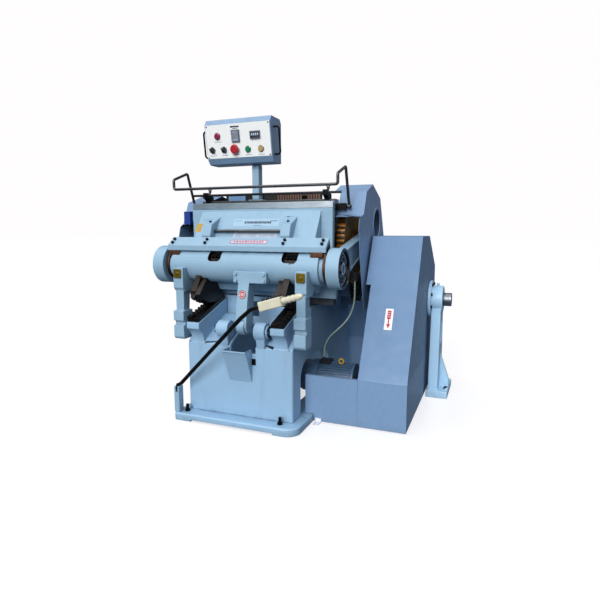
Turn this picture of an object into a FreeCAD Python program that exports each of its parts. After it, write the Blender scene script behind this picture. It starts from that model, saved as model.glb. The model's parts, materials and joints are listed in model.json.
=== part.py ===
import FreeCAD, Part
import math
import os

# Hand-fed platen die cutting and creasing press, in millimetres.
# X runs to the operator's right, Y away from the operator, Z up.
# The origin is on the floor under the middle of the base's front wall.
# The press is shown closed: the platen is upright, against the chase.

os.makedirs("parts", exist_ok=True)
Vector = FreeCAD.Vector

# ---------------------------------------------------------------- driving dimensions

# Rolling platen: it rolls on two toothed ways that rise to the rear.
SHAFT_Y, SHAFT_Z = 160.0, 1090.0
SHAFT_R = 55.0
RUNNING = 0.05
WAY_ANGLE = math.radians(18.0)
ROLL_MODULE = 12.0
SECTOR_TEETH = 45
ROLL_R = ROLL_MODULE * SECTOR_TEETH / 2
TILT = math.radians(46.0)
TRAVEL = ROLL_R * TILT
WAY_DIR = Vector(0, math.cos(WAY_ANGLE), math.sin(WAY_ANGLE))
WAY_NORMAL = Vector(0, -math.sin(WAY_ANGLE), math.cos(WAY_ANGLE))
WAY_X = (275.0, 365.0)
TRACK_X, RACK_X = (275.0, 318.0), (322.0, 365.0)
TRACK_GAP = 0.3
BARREL_R = 118.0

# Gear train: flywheel shaft, intermediate shaft, crank gears.
GEAR_MODULE = 12.0
CRANK_TEETH, CRANK_PINION_TEETH = 54, 15
FAST_MODULE = 8.0
WHEEL_TEETH, DRIVE_PINION_TEETH = 50, 18
CRANK_Y, CRANK_Z = 800.0, 1250.0
DRIVE_Y, DRIVE_Z = 1220.0, 780.0
CRANK_GEAR_X = (548.0, 603.0)
FAST_GEAR_X = (250.0, 320.0)
CRANK_SHAFT_R, MIDDLE_SHAFT_R, DRIVE_SHAFT_R = 50.0, 40.0, 55.0

# Frames and castings.
BASE_HALF = 405.0
BASE_WALL = 30.0
BASE_TOP = 550.0
PLATE_T = 55.0
PLATE_HALF = 470.0
PLATE_Y = (-110.0, 1340.0)
FRAME_X = (345.0, 405.0)
FRAME_REAR = 1330.0
BED_HALF = 540.0
BED_Y = (457.0, 560.0)
BED_Z = (800.0, 1560.0)
PLATEN_HALF = 561.0
PLATEN_FRONT, PLATEN_BACK = 350.0, 405.0
PLATEN_LOW, STRIP_LOW, STRIP_TOP = 862.0, 1493.0, 1538.0

# Motor and belt drive.
MOTOR_Y, MOTOR_Z, MOTOR_R = 500.0, 250.0, 118.0
FLYWHEEL_R, PULLEY_R = 350.0, 56.0
BELT_XS = (862.0, 885.0, 908.0)

# Sheet guards.
SHEET = 4.0


# ---------------------------------------------------------------- shape helpers

def box(x, y, z):
    return Part.makeBox(x[1] - x[0], y[1] - y[0], z[1] - z[0], Vector(x[0], y[0], z[0]))


def rod_x(radius, x, y, z):
    return Part.makeCylinder(radius, x[1] - x[0], Vector(x[0], y, z), Vector(1, 0, 0))


def rod_y(radius, x, y, z):
    return Part.makeCylinder(radius, y[1] - y[0], Vector(x, y[0], z), Vector(0, 1, 0))


def rod_z(radius, x, y, z):
    return Part.makeCylinder(radius, z[1] - z[0], Vector(x, y, z[0]), Vector(0, 0, 1))


def slab_x(outline, x):
    """An outline of (y, z) points, extruded from x[0] to x[1]."""
    points = [Vector(x[0], y, z) for y, z in outline]
    face = Part.Face(Part.makePolygon(points + points[:1]))
    return face.extrude(Vector(x[1] - x[0], 0, 0))


def slab_z(outline, z):
    """An outline of (x, y) points, extruded from z[0] to z[1]."""
    points = [Vector(x, y, z[0]) for x, y in outline]
    face = Part.Face(Part.makePolygon(points + points[:1]))
    return face.extrude(Vector(0, 0, z[1] - z[0]))


def join(shapes):
    result = shapes[0].multiFuse(shapes[1:]) if len(shapes) > 1 else shapes[0]
    return result.removeSplitter()


def mirror(shape):
    return shape.mirror(Vector(0, 0, 0), Vector(1, 0, 0))


def both(shape):
    """The shape and its mirror image on the other side of the machine."""
    return [shape, mirror(shape)]


def round_edges(shape, radius, chosen):
    edges = [edge for edge in shape.Edges if chosen(edge)]
    return shape.makeFillet(radius, edges)


def runs_along(edge, direction):
    if len(edge.Vertexes) < 2:
        return False
    span = edge.Vertexes[1].Point - edge.Vertexes[0].Point
    return abs(span.normalize().dot(direction)) > 0.999 and edge.Curve.TypeId == "Part::GeomLine"


def middle(edge):
    return edge.BoundBox.Center


def hex_head(centre, axis, across, height):
    """A hexagonal bolt head or nut that stands on a face."""
    flat = Part.makePolygon([
        Vector(across / math.sqrt(3) * math.cos(math.radians(60 * i)),
               across / math.sqrt(3) * math.sin(math.radians(60 * i)), 0)
        for i in range(7)])
    head = Part.Face(flat).extrude(Vector(0, 0, height))
    head.Placement = FreeCAD.Placement(centre, FreeCAD.Rotation(Vector(0, 0, 1), axis))
    return head


def route(points, radii):
    """A wire of straight runs joined by tangent arcs."""
    edges = []
    start = points[0]
    for before, corner, after, radius in zip(points, points[1:], points[2:], radii):
        inward = (before - corner).normalize()
        outward = (after - corner).normalize()
        half = inward.getAngle(outward) / 2
        setback = radius / math.tan(half)
        enter = corner + inward * setback
        leave = corner + outward * setback
        to_centre = (inward + outward).normalize()
        arc_middle = corner + to_centre * (radius / math.sin(half) - radius)
        edges.append(Part.LineSegment(start, enter).toShape())
        edges.append(Part.Arc(enter, arc_middle, leave).toShape())
        start = leave
    edges.append(Part.LineSegment(start, points[-1]).toShape())
    return Part.Wire(edges)


def tube(points, radii, radius):
    """A round bar or tube, bent along a route."""
    path = route(points, radii)
    heading = (points[1] - points[0]).normalize()
    ring = Part.Wire(Part.makeCircle(radius, points[0], heading))
    sweep = Part.BRepOffsetAPI.MakePipeShell(path)
    sweep.add(ring)
    sweep.build()
    sweep.makeSolid()
    return sweep.shape(), path.Length


def write(node, shapes):
    solids = []
    for shape in shapes:
        solids.extend(shape.Solids)
    Part.makeCompound(solids).exportStep("parts/" + node + ".step")


# ---------------------------------------------------------------- gears

def involute_angle(base_r, radius):
    reach = math.sqrt(max((radius / base_r) ** 2 - 1, 0))
    return reach - math.atan(reach)


def tooth_points(module, teeth, centre_angle):
    """(radius, angle) points over one tooth, with a little backlash."""
    pitch_r = module * teeth / 2
    base_r = pitch_r * math.cos(math.radians(20))
    tip_r = pitch_r + 0.85 * module
    root_r = pitch_r - 1.12 * module
    half = math.pi / (2 * teeth) - 0.035 * module / pitch_r
    at_pitch = involute_angle(base_r, pitch_r)
    radii = [root_r, max(base_r, root_r + 0.1 * module), pitch_r, tip_r]
    flank = [(r, half + at_pitch - involute_angle(base_r, r)) for r in radii]
    rising = [(r, centre_angle - width) for r, width in flank]
    falling = [(r, centre_angle + width) for r, width in reversed(flank)]
    return rising + falling


def gear(module, teeth, x, y, z, bore_r, tooth_angle):
    """A spur gear about X; one tooth is centred on tooth_angle, from +Y towards +Z."""
    outline = []
    for i in range(teeth):
        centre_angle = tooth_angle + 2 * math.pi * i / teeth
        for radius, angle in tooth_points(module, teeth, centre_angle):
            outline.append((y + radius * math.cos(angle), z + radius * math.sin(angle)))
    return slab_x(outline, x).cut(rod_x(bore_r, (x[0] - 1, x[1] + 1), y, z))


def angle_between(y0, z0, y1, z1):
    return math.atan2(z1 - z0, y1 - y0)


def on_circle(y, z, radius, angle):
    return y + radius * math.cos(angle), z + radius * math.sin(angle)


# The intermediate shaft meshes with both the crank gear and the drive pinion.
CRANK_R = GEAR_MODULE * CRANK_TEETH / 2
FAR_CENTRES = GEAR_MODULE * (CRANK_TEETH + CRANK_PINION_TEETH) / 2
NEAR_CENTRES = FAST_MODULE * (WHEEL_TEETH + DRIVE_PINION_TEETH) / 2
SPAN = math.hypot(DRIVE_Y - CRANK_Y, DRIVE_Z - CRANK_Z)
SPAN_ANGLE = angle_between(CRANK_Y, CRANK_Z, DRIVE_Y, DRIVE_Z)
BEND_ANGLE = math.acos((FAR_CENTRES ** 2 + SPAN ** 2 - NEAR_CENTRES ** 2)
                       / (2 * FAR_CENTRES * SPAN))
MIDDLE_Y, MIDDLE_Z = on_circle(CRANK_Y, CRANK_Z, FAR_CENTRES, SPAN_ANGLE - BEND_ANGLE)

# The crank: closed, the crank pin is at its far dead centre from the cross shaft.
OPEN_Y = SHAFT_Y - TRAVEL * WAY_DIR.y
OPEN_Z = SHAFT_Z - TRAVEL * WAY_DIR.z
CLOSED_SPAN = math.hypot(CRANK_Y - SHAFT_Y, CRANK_Z - SHAFT_Z)
OPEN_SPAN = math.hypot(CRANK_Y - OPEN_Y, CRANK_Z - OPEN_Z)
THROW = (OPEN_SPAN - CLOSED_SPAN) / 2
BAR_ANGLE = angle_between(SHAFT_Y, SHAFT_Z, CRANK_Y, CRANK_Z)
BAR_LENGTH = CLOSED_SPAN + THROW
PIN_Y, PIN_Z = on_circle(CRANK_Y, CRANK_Z, THROW, BAR_ANGLE)
HEAD_R = 136.0
BAR_X = (620.0, 690.0)
HEAD_X = (615.0, 705.0)


def way_height(y):
    """Height of the ways' pitch line at a distance y from the front wall."""
    contact = Vector(0, SHAFT_Y, SHAFT_Z) - WAY_NORMAL * ROLL_R
    return contact.z + (y - contact.y) * math.tan(WAY_ANGLE)


# ---------------------------------------------------------------- base and frames

def base_plate():
    half = PLATE_HALF
    plate = box((-half, half), PLATE_Y, (0, PLATE_T))
    front = PLATE_Y[0]
    plate = round_edges(plate, 95, lambda e: runs_along(e, Vector(0, 0, 1))
                        and middle(e).x > 0 and middle(e).y < 0)
    plate = round_edges(plate, 32, lambda e: runs_along(e, Vector(0, 0, 1))
                        and abs(middle(e).x) > half - 1)
    plate = round_edges(plate, 14, lambda e: middle(e).z > PLATE_T - 0.1
                        and middle(e).y < PLATE_Y[1] - 50)
    plate = plate.cut(box((-330, 300), (front - 1, front + 60), (-1, 13)))
    plate = plate.cut(box((-280, 280), (60, 1250), (-1, 60)))
    for x in (-FOOT_HOLE_X, FOOT_HOLE_X):
        for y in FOOT_HOLE_YS:
            plate = plate.cut(rod_z(FOOT_HOLE_R, x, y, (-1, 60)))
    return [plate]


FOOT_HOLE_X = 440.0
FOOT_HOLE_YS = (150.0, 1300.0)
FOOT_HOLE_R = 13.0
ARCH_Y, ARCH_TOP, ARCH_R = (150.0, 760.0), 432.0, 130.0


def motor_arch(x):
    """The arched opening in a side wall, through which the motor passes."""
    arch = box(x, ARCH_Y, (PLATE_T - 1, ARCH_TOP))
    return round_edges(arch, ARCH_R, lambda e: runs_along(e, Vector(1, 0, 0))
                       and middle(e).z > ARCH_TOP - 1)


SLOT_X = (-60.0, 132.0)
ROLLER_Y, ROLLER_Z, ROLLER_R = 20.0, 690.0, 60.0
BOSS_R, BOSS_Z = 62.0, 662.0


def rack_support():
    """A rib that carries one toothed way; its front face is hollow-curved."""
    x = WAY_X
    low, back = BASE_TOP - 8, 345.0
    front, drop = -62.0, 31.6
    nose_z = way_height(front) - drop - 42
    points = [Vector(x[0] - 5, 2, low), Vector(x[0] - 5, back, low),
              Vector(x[0] - 5, back, way_height(back) - drop),
              Vector(x[0] - 5, front, way_height(front) - drop),
              Vector(x[0] - 5, front, nose_z)]
    edges = [Part.LineSegment(a, b).toShape() for a, b in zip(points, points[1:])]
    hollow = Vector(x[0] - 5, -14, (nose_z + low) / 2 + 16)
    edges.append(Part.Arc(points[-1], hollow, points[0]).toShape())
    return Part.Face(Part.Wire(edges)).extrude(Vector(x[1] - x[0] + 10, 0, 0))


def base_housing():
    outer = [(0, PLATE_T), (0, BASE_TOP), (34, 578), (300, 712), (345, 712), (345, PLATE_T)]
    inner = [(BASE_WALL, PLATE_T - 1), (BASE_WALL, BASE_TOP - 20), (50, 555),
             (300, 682), (346, 682), (346, PLATE_T - 1)]
    shell = slab_x(outer, (-BASE_HALF, BASE_HALF))
    shell = round_edges(shell, 16, lambda e: middle(e).y < 1
                        and abs(middle(e).x) > BASE_HALF - 1)
    shell = join([shell] + both(rack_support()))
    shell = shell.cut(slab_x(inner, (-BASE_HALF + BASE_WALL, BASE_HALF - BASE_WALL)))
    shell = shell.cut(box(SLOT_X, (-1, 346), (505, 760)))
    shell = shell.cut(motor_arch((FRAME_X[0], BASE_HALF + 1)))
    bosses = []
    for x in ((SLOT_X[1] + 2, 216), (-150, SLOT_X[0] - 2)):
        barrel = rod_x(BOSS_R, x, ROLLER_Y, BOSS_Z)
        pedestal = slab_x([(-32, 655), (2, 540), (150, 632), (110, 662)], (x[0] + 10, x[1] - 10))
        bosses.append(join([barrel, pedestal]).cut(slab_x(
            [(-0.2, 0), (-0.2, BASE_TOP), (33.8, 578.1), (300, 712.1), (300, 0)],
            (x[0] - 1, x[1] + 1))))
    rear_wall = box((-FRAME_X[0], FRAME_X[0]), (FRAME_REAR - 24, FRAME_REAR), (PLATE_T, 690))
    bulkhead = box((-FRAME_X[0], FRAME_X[0]), (345, 373), (640, 852))
    bulkhead = bulkhead.cut(box((-118, -8), (344, 374), (700, 812)))
    return [join([shell] + bosses), rear_wall, bulkhead]


BOSS_ENDS = ((216.0, 1.0), (-150.0, -1.0))
CAP_T = 14.0


def boss_caps():
    """Round end caps on the centre bearing bosses."""
    solids = []
    for x, out in BOSS_ENDS:
        low = min(x, x + out * CAP_T)
        solids.append(rod_x(46, (low, low + CAP_T), ROLLER_Y, BOSS_Z))
    return solids


def boss_cap_bolts():
    solids = []
    for x, out in BOSS_ENDS:
        for i in range(6):
            y, z = on_circle(ROLLER_Y, BOSS_Z, 33, math.radians(60 * i + 30))
            solids.append(hex_head(Vector(x + out * CAP_T, y, z), Vector(out, 0, 0), 16, 9))
    return solids


def side_frame(side):
    outline = [(345, PLATE_T), (345, 792), (BED_Y[1] + 1, 792), (BED_Y[1] + 1, 1548),
               (780, 1548), (1010, 1460), (1240, 1130), (FRAME_REAR, 960), (FRAME_REAR, PLATE_T)]
    frame = slab_x(outline, FRAME_X)
    if side > 0:
        frame = frame.cut(motor_arch((FRAME_X[0] - 1, FRAME_X[1] + 1)))
    for y, z, r in ((CRANK_Y, CRANK_Z, CRANK_SHAFT_R), (MIDDLE_Y, MIDDLE_Z, MIDDLE_SHAFT_R),
                    (DRIVE_Y, DRIVE_Z, DRIVE_SHAFT_R)):
        frame = frame.cut(rod_x(r + 2, (FRAME_X[0] - 1, FRAME_X[1] + 1), y, z))
    return frame if side > 0 else mirror(frame)


def frame_bearings():
    """Flanged bearing housings on the outside of the frames."""
    solids = []
    for y, z, shaft_r, length, housing_r in (
            (CRANK_Y, CRANK_Z, CRANK_SHAFT_R, 130, 88),
            (MIDDLE_Y, MIDDLE_Z, MIDDLE_SHAFT_R, 130, 68),
            (DRIVE_Y, DRIVE_Z, DRIVE_SHAFT_R, 75, 92)):
        start = FRAME_X[1]
        flange = rod_x(housing_r + 26, (start, start + 22), y, z)
        nose = rod_x(housing_r, (start, start + length), y, z)
        body = join([flange, nose])
        body = body.cut(rod_x(shaft_r + RUNNING, (start - 1, start + length + 1), y, z))
        solids.extend(both(body))
    return solids


def bed_casting():
    """The upright bed: a flat front wall with a ribbed back."""
    wall = box((-BED_HALF, BED_HALF), (507, 532), BED_Z)
    ribs = []
    for z in (BED_Z[0], 1045, 1290, BED_Z[1] - 28):
        ribs.append(box((-BED_HALF, BED_HALF), (530, BED_Y[1]), (z, z + 28)))
    for x in (-BED_HALF, -180, 152, BED_HALF - 28):
        ribs.append(box((x, x + 28), (530, BED_Y[1]), BED_Z))
    return [join([wall] + ribs)]


def bed_plate():
    """The machined steel plate that takes the cutting pressure."""
    return [box((-BED_HALF, BED_HALF), (BED_Y[0], 507), BED_Z)]


def chase_frame():
    y = (437.0, 457.0)
    outer = box((-525, 525), y, (870, 1548))
    solids = [outer.cut(box((-478, 478), (y[0] - 1, y[1] + 1), (925, 1492)))]
    solids.append(box((-477, 477), (439, 457), (926, 1491)))
    return solids


def toothed_way():
    """A straight rack; a gap faces the sector's middle tooth when the press is closed."""
    pitch = math.pi * ROLL_MODULE
    contact = Vector(0, SHAFT_Y, SHAFT_Z) - WAY_NORMAL * ROLL_R
    low, high = -318.0, 66.0
    root, tip = -1.12 * ROLL_MODULE, 0.85 * ROLL_MODULE
    slope = math.tan(math.radians(20))
    half = pitch / 4 - 0.035 * ROLL_MODULE
    profile = [(low, -30), (low, tip)]
    first = -7
    profile.append(((first - 0.5) * pitch + half - tip * slope, tip))
    profile.append(((first - 0.5) * pitch + half - root * slope, root))
    for i in range(first, 1):
        centre = (i + 0.5) * pitch
        profile.append((centre - half + root * slope, root))
        profile.append((centre - half + tip * slope, tip))
        profile.append((centre + half - tip * slope, tip))
        profile.append((centre + half - root * slope, root))
    centre = 1.5 * pitch
    profile.append((centre - half + root * slope, root))
    profile.append((centre - half + tip * slope, tip))
    profile += [(high, tip), (high, -30)]
    outline = []
    for along, up in profile:
        point = contact + WAY_DIR * along + WAY_NORMAL * up
        outline.append((point.y, point.z))
    return slab_x(outline, RACK_X)


def smooth_track():
    """The flat steel track beside a rack, which carries the platen's weight."""
    contact = Vector(0, SHAFT_Y, SHAFT_Z) - WAY_NORMAL * ROLL_R
    outline = []
    for along, up in ((-318.0, -30.0), (-318.0, -TRACK_GAP), (66.0, -TRACK_GAP), (66.0, -30.0)):
        point = contact + WAY_DIR * along + WAY_NORMAL * up
        outline.append((point.y, point.z))
    return slab_x(outline, TRACK_X)


def oil_catch_box():
    """An open-topped sheet box on the front wall, tapered towards its foot."""
    top, foot = 538.0, 306.0
    outer = slab_x([(0, foot), (-100, top), (-100, top + 2), (0, top + 2)], (-68, 106))
    inner = slab_x([(1, foot + 8), (-96, top + 3), (1, top + 3)], (-65, 103))
    rim = box((-72, 110), (-105, -100), (top - 8, top + 2))
    screw = rod_y(7, 124, (-9, 0), 452)
    ear = box((106, 136), (-3, 0), (430, 474))
    return [join([outer, rim]).cut(inner).cut(box((-65, 103), (-99, 1), (top - 1, top + 4))),
            join([ear, screw])]


def levelling_screws():
    solids = []
    for x, y in ((-390, -50), (330, -42), (-434, 1180), (434, 1180)):
        solids.append(hex_head(Vector(x, y, PLATE_T), Vector(0, 0, 1), 34, 16))
        solids.append(rod_z(11, x, y, (PLATE_T + 16, PLATE_T + 50)))
    return solids


# ---------------------------------------------------------------- rolling platen

def barrel_cut(radius):
    return rod_x(radius, (-700, 700), SHAFT_Y, SHAFT_Z)


POCKET_XS = ((-258.0, -160.0), (304.0, 412.0))
POCKET_DEPTH = 30.0


def barrel_pocket(x):
    """A round-cornered pocket in the barrel's upper front, under the throw-off beam."""
    block = box(x, (30, 128), (1126, 1214))
    block = round_edges(block, 26, lambda e: runs_along(e, Vector(0, 1, 0)) and middle(e).z < 1130)
    return block.cut(rod_x(BARREL_R - POCKET_DEPTH, (x[0] - 1, x[1] + 1), SHAFT_Y, SHAFT_Z))


def platen_casting():
    plate = box((-PLATEN_HALF, PLATEN_HALF), (PLATEN_FRONT, PLATEN_BACK - 8),
                (PLATEN_LOW, STRIP_LOW))
    web_front = [(352, 1480), (215, 1265), (186, 1195), (170, 1100), (186, 1000),
                 (250, 905), (352, 905)]
    web = slab_x(web_front, (-478, 478))
    flare = slab_z([(-PLATEN_HALF - 27, PLATEN_FRONT), (PLATEN_HALF + 27, PLATEN_FRONT),
                    (PLATEN_HALF + 27, PLATEN_BACK - 8), (-PLATEN_HALF - 27, PLATEN_BACK - 8)],
                   (PLATEN_LOW, 1130))
    barrel = rod_x(BARREL_R, (-560, 560), SHAFT_Y, SHAFT_Z)
    shoulders = rod_x(96, (-585, 585), SHAFT_Y, SHAFT_Z)
    lugs = []
    for x in LUG_XS:
        lug = slab_x([(352, 1444), (300, 1424), (192, 1380), (165, 1300), (172, 1284), (240, 1266),
                      (352, 1266)], (x - 36, x + 36))
        lugs.append(round_edges(lug, 5, lambda e: middle(e).y < 300 and runs_along(e, LUG_DIR)))
    body = join([plate, web, flare, barrel, shoulders] + lugs)
    for x in POCKET_XS:
        body = body.cut(barrel_pocket(x))
    bore = rod_x(SHAFT_R + RUNNING, (-600, 600), SHAFT_Y, SHAFT_Z)
    rod_hole = rod_x(GRIP_R + RUNNING, (LUG_XS[0] - 20, LUG_XS[1] + 20), GRIP_Y, GRIP_Z)
    return [body.cut(bore).cut(rod_hole)]


LUG_DIR = Vector(0, 108, 44).normalize()
LUG_XS = (-338.0, 278.0)
GRIP_R, GRIP_Y, GRIP_Z = 11.5, 236.0, 1334.0


def platen_top_strip():
    strip = box((-PLATEN_HALF, PLATEN_HALF), (PLATEN_FRONT, PLATEN_BACK), (STRIP_LOW, STRIP_TOP))
    return [round_edges(strip, 2, lambda e: runs_along(e, Vector(1, 0, 0)))]


def cutting_plate():
    return [box((-555, 555), (PLATEN_BACK - 8, PLATEN_BACK), (PLATEN_LOW + 8, STRIP_LOW))]


def gear_sector():
    """A toothed segment, keyed to the barrel, that rolls on a toothed way."""
    module, teeth = ROLL_MODULE, SECTOR_TEETH
    contact = WAY_ANGLE - math.pi / 2
    step = 2 * math.pi / teeth
    outline = []
    for i in range(-7, 2):
        for radius, angle in tooth_points(module, teeth, contact + i * step):
            outline.append(on_circle(SHAFT_Y, SHAFT_Z, radius, angle))
    last = contact + 1.8 * step
    first = contact - 7.8 * step
    outline.append(on_circle(SHAFT_Y, SHAFT_Z, 240, last))
    outline.append(on_circle(SHAFT_Y, SHAFT_Z, 100, last + 0.25))
    outline.append(on_circle(SHAFT_Y, SHAFT_Z, 100, first - 0.25))
    outline.append(on_circle(SHAFT_Y, SHAFT_Z, 240, first))
    segment = slab_x(outline, (RACK_X[0] + 3, RACK_X[1] - 3))
    rocker = rod_x(ROLL_R, (TRACK_X[0] + 3, TRACK_X[1] + 1), SHAFT_Y, SHAFT_Z)
    wedge = [(SHAFT_Y, SHAFT_Z)]
    for part in range(9):
        angle = first + (last - first) * part / 8
        wedge.append(on_circle(SHAFT_Y, SHAFT_Z, 2 * ROLL_R, angle))
    rocker = rocker.common(slab_x(wedge, TRACK_X))
    web = slab_x(outline[-4:], (TRACK_X[1] + 1, RACK_X[0] + 3))
    segment = join([segment, rocker, web])
    return segment.cut(barrel_cut(BARREL_R + 0.3)).cut(platen_casting()[0])


GUIDE_X = (424.0, 505.0)


def guide_arm():
    """A hanging guide arm, bolted to the barrel, with a wide foot."""
    head = slab_x([(-10, 1078), (-10, 935), (18, 905), (95, 905), (170, 960), (170, 1078)],
                  GUIDE_X)
    shank = slab_x([(2, 920), (2, 760), (74, 760), (88, 920)], (GUIDE_X[0] + 6, GUIDE_X[1] - 10))
    foot = slab_x([(-22, 772), (-22, 700), (0, 700), (0, 668), (-22, 668), (-22, 585), (-8, 568),
                   (78, 568), (96, 590), (96, 772)], (GUIDE_X[0] - 4, GUIDE_X[1]))
    arm = join([head, shank, foot]).cut(barrel_cut(BARREL_R + 0.3))
    return arm


def guide_arms():
    solids = both(guide_arm())
    stud = join([rod_z(7, 452, 18, (772, 812)), hex_head(Vector(452, 18, 772), Vector(0, 0, 1), 24, 12)])
    return solids + both(stud.cut(guide_arm()))


def brass_shoes():
    shoe = box((436, 496), (-19, -10), (1006, 1068))
    shoe = round_edges(shoe, 7, lambda e: runs_along(e, Vector(0, 1, 0)))
    cap = hex_head(Vector(466, -19, 1037), Vector(0, -1, 0), 22, 8)
    return both(join([shoe, cap]))


ARM_X = (0.0, 82.0)


def center_bracket():
    """A plate on the barrel and an arm that ends in a fork for the roller."""
    plate = box((-40, 206), (24, 120), (985, 1064))
    plate = round_edges(plate, 8, lambda e: runs_along(e, Vector(0, 1, 0)) and middle(e).y < 100)
    neck = slab_x([(24, 1010), (4, 930), (-22, 800), (-34, 690), (70, 690), (78, 800),
                   (100, 930), (110, 1010)], ARM_X)
    eye = rod_x(50, ARM_X, ROLLER_Y, ROLLER_Z)
    roller_gap = rod_x(ROLLER_R + 8, (ARM_X[0] + 16, ARM_X[1] - 16), ROLLER_Y, ROLLER_Z)
    arm = join([plate, neck, eye]).cut(barrel_cut(BARREL_R + 0.3))
    arm = arm.cut(roller_gap)
    pin = rod_x(16, (ARM_X[0] + 2, ARM_X[1] - 2), ROLLER_Y, ROLLER_Z)
    return [join([arm, pin])]


def center_roller():
    x = (ARM_X[0] + 17, ARM_X[1] - 17)
    roller = rod_x(ROLLER_R, x, ROLLER_Y, ROLLER_Z)
    roller = round_edges(roller, 3, lambda e: e.Length > 300)
    return [roller.cut(rod_x(16 + RUNNING, (x[0] - 1, x[1] + 1), ROLLER_Y, ROLLER_Z))]


def grip_rod():
    return [rod_x(GRIP_R, (LUG_XS[0] - 20, LUG_XS[1] + 20), GRIP_Y, GRIP_Z)]


def platen_bolts():
    """Bolts of the centre bracket, the lugs and the beam's stops."""
    solids = []
    forward = Vector(0, -1, 0)
    for x in (-22, 188):
        for z in (1002, 1047):
            solids.append(hex_head(Vector(x, 24, z), forward, 22, 11))
    slope = Vector(0, -44, 108).normalize()
    for x in LUG_XS:
        seat = Vector(x, 236, 1397.9)
        solids.append(hex_head(seat + slope * 0.6, slope, 17, 9))
    return solids


# ---------------------------------------------------------------- throw-off yoke

BEAM_HALF = 604.0


def throw_off_beam():
    outline = [(74, 1196), (74, 1232), (150, 1291), (164, 1273), (97, 1221), (97, 1196)]
    beam = slab_x(outline, (-BEAM_HALF, BEAM_HALF))
    beam = round_edges(beam, 3, lambda e: runs_along(e, Vector(1, 0, 0)))
    solids = [beam]
    slope = Vector(0, -59, 76).normalize()
    for x in (-572, -300, 300, 572):
        for y, z in ((94, 1248.2), (124, 1271.5)):
            solids.append(hex_head(Vector(x, y, z) + slope * 0.9, slope, 20, 12))
    return solids


def throw_off_arms():
    """End arms that hold the beam; each turns on the cross shaft beside the barrel."""
    x = (588.0, BEAM_HALF - 1)
    ring = rod_x(104, x, SHAFT_Y, SHAFT_Z)
    arm = slab_x([(80, 1150), (98, 1219), (163, 1271), (200, 1180)], x)
    body = join([ring, arm])
    body = body.cut(rod_x(SHAFT_R + RUNNING, (x[0] - 1, x[1] + 1), SHAFT_Y, SHAFT_Z))
    body = body.cut(throw_off_beam()[0])
    pad = box((500, 586), (66, 96), (1150, 1195)).cut(barrel_cut(BARREL_R + 1))
    return both(body) + both(pad)


# ---------------------------------------------------------------- draw bars and cross shaft

def cross_shaft():
    shaft = rod_x(SHAFT_R, (-690, 690), SHAFT_Y, SHAFT_Z)
    return [round_edges(shaft, 4, lambda e: e.Length > 200)]


def draw_bar():
    """A ring head on the cross shaft, a tapered bar and an eye at the crank pin."""
    head = rod_x(HEAD_R, HEAD_X, SHAFT_Y, SHAFT_Z)
    along = Vector(0, math.cos(BAR_ANGLE), math.sin(BAR_ANGLE))
    across = Vector(0, -math.sin(BAR_ANGLE), math.cos(BAR_ANGLE))
    start = Vector(0, SHAFT_Y, SHAFT_Z) + along * 60
    end = Vector(0, PIN_Y, PIN_Z)
    outline = []
    for point in (start + across * 96, end + across * 58, end - across * 58, start - across * 84):
        outline.append((point.y, point.z))
    bar = slab_x(outline, (BAR_X[0] + 8, BAR_X[1] - 8))
    rims = []
    for sign, near, far in ((1, 96, 58), (-1, 84, 58)):
        edge = []
        for point, reach in ((start, near), (end, far), (end, far - 16), (start, near - 16)):
            corner = point + across * (sign * reach)
            edge.append((corner.y, corner.z))
        rims.append(slab_x(edge, BAR_X))
    eye = rod_x(78, BAR_X, PIN_Y, PIN_Z)
    body = join([head, bar, eye] + rims)
    recess = rod_x(HEAD_R - 22, (HEAD_X[1] - 26, HEAD_X[1] + 1), SHAFT_Y, SHAFT_Z)
    body = body.cut(recess)
    body = body.cut(rod_x(SHAFT_R + RUNNING, (HEAD_X[0] - 1, HEAD_X[1] + 1), SHAFT_Y, SHAFT_Z))
    return body.cut(rod_x(PIN_R + RUNNING, (BAR_X[0] - 1, BAR_X[1] + 1), PIN_Y, PIN_Z))


PIN_R = 38.0


def crank_pins():
    """Each pin is held in its draw bar and stops just short of the crank gear."""
    pin = rod_x(PIN_R, (CRANK_GEAR_X[1] + 10, BAR_X[1] + 6), PIN_Y, PIN_Z)
    washer = rod_x(52, (BAR_X[1] + 6, BAR_X[1] + 14), PIN_Y, PIN_Z)
    return both(join([pin, washer]))


# ---------------------------------------------------------------- gear train

def crank_gear():
    mesh = angle_between(CRANK_Y, CRANK_Z, MIDDLE_Y, MIDDLE_Z)
    wheel = gear(GEAR_MODULE, CRANK_TEETH, CRANK_GEAR_X, CRANK_Y, CRANK_Z,
                 CRANK_SHAFT_R + RUNNING, mesh)
    for x in ((CRANK_GEAR_X[0] - 1, CRANK_GEAR_X[0] + 14),
              (CRANK_GEAR_X[1] - 14, CRANK_GEAR_X[1] + 1)):
        ring = rod_x(CRANK_R - 44, x, CRANK_Y, CRANK_Z).cut(rod_x(80, x, CRANK_Y, CRANK_Z))
        ring = ring.cut(rod_x(84, x, PIN_Y, PIN_Z))
        wheel = wheel.cut(ring)
    seat = rod_x(60, (CRANK_GEAR_X[1], CRANK_GEAR_X[1] + 9), PIN_Y, PIN_Z)
    return join([wheel, seat])


def crank_shaft():
    return [rod_x(CRANK_SHAFT_R, (-CRANK_GEAR_X[1], CRANK_GEAR_X[1]), CRANK_Y, CRANK_Z)]


def pinion_phase(module, wheel_angle, teeth):
    """Angle of a pinion tooth, so that a gap faces the wheel's tooth at wheel_angle."""
    return wheel_angle + math.pi + math.pi / teeth


def intermediate_shaft():
    shaft = rod_x(MIDDLE_SHAFT_R, (-CRANK_GEAR_X[1] - 8, CRANK_GEAR_X[1] + 8), MIDDLE_Y, MIDDLE_Z)
    return [shaft]


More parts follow.
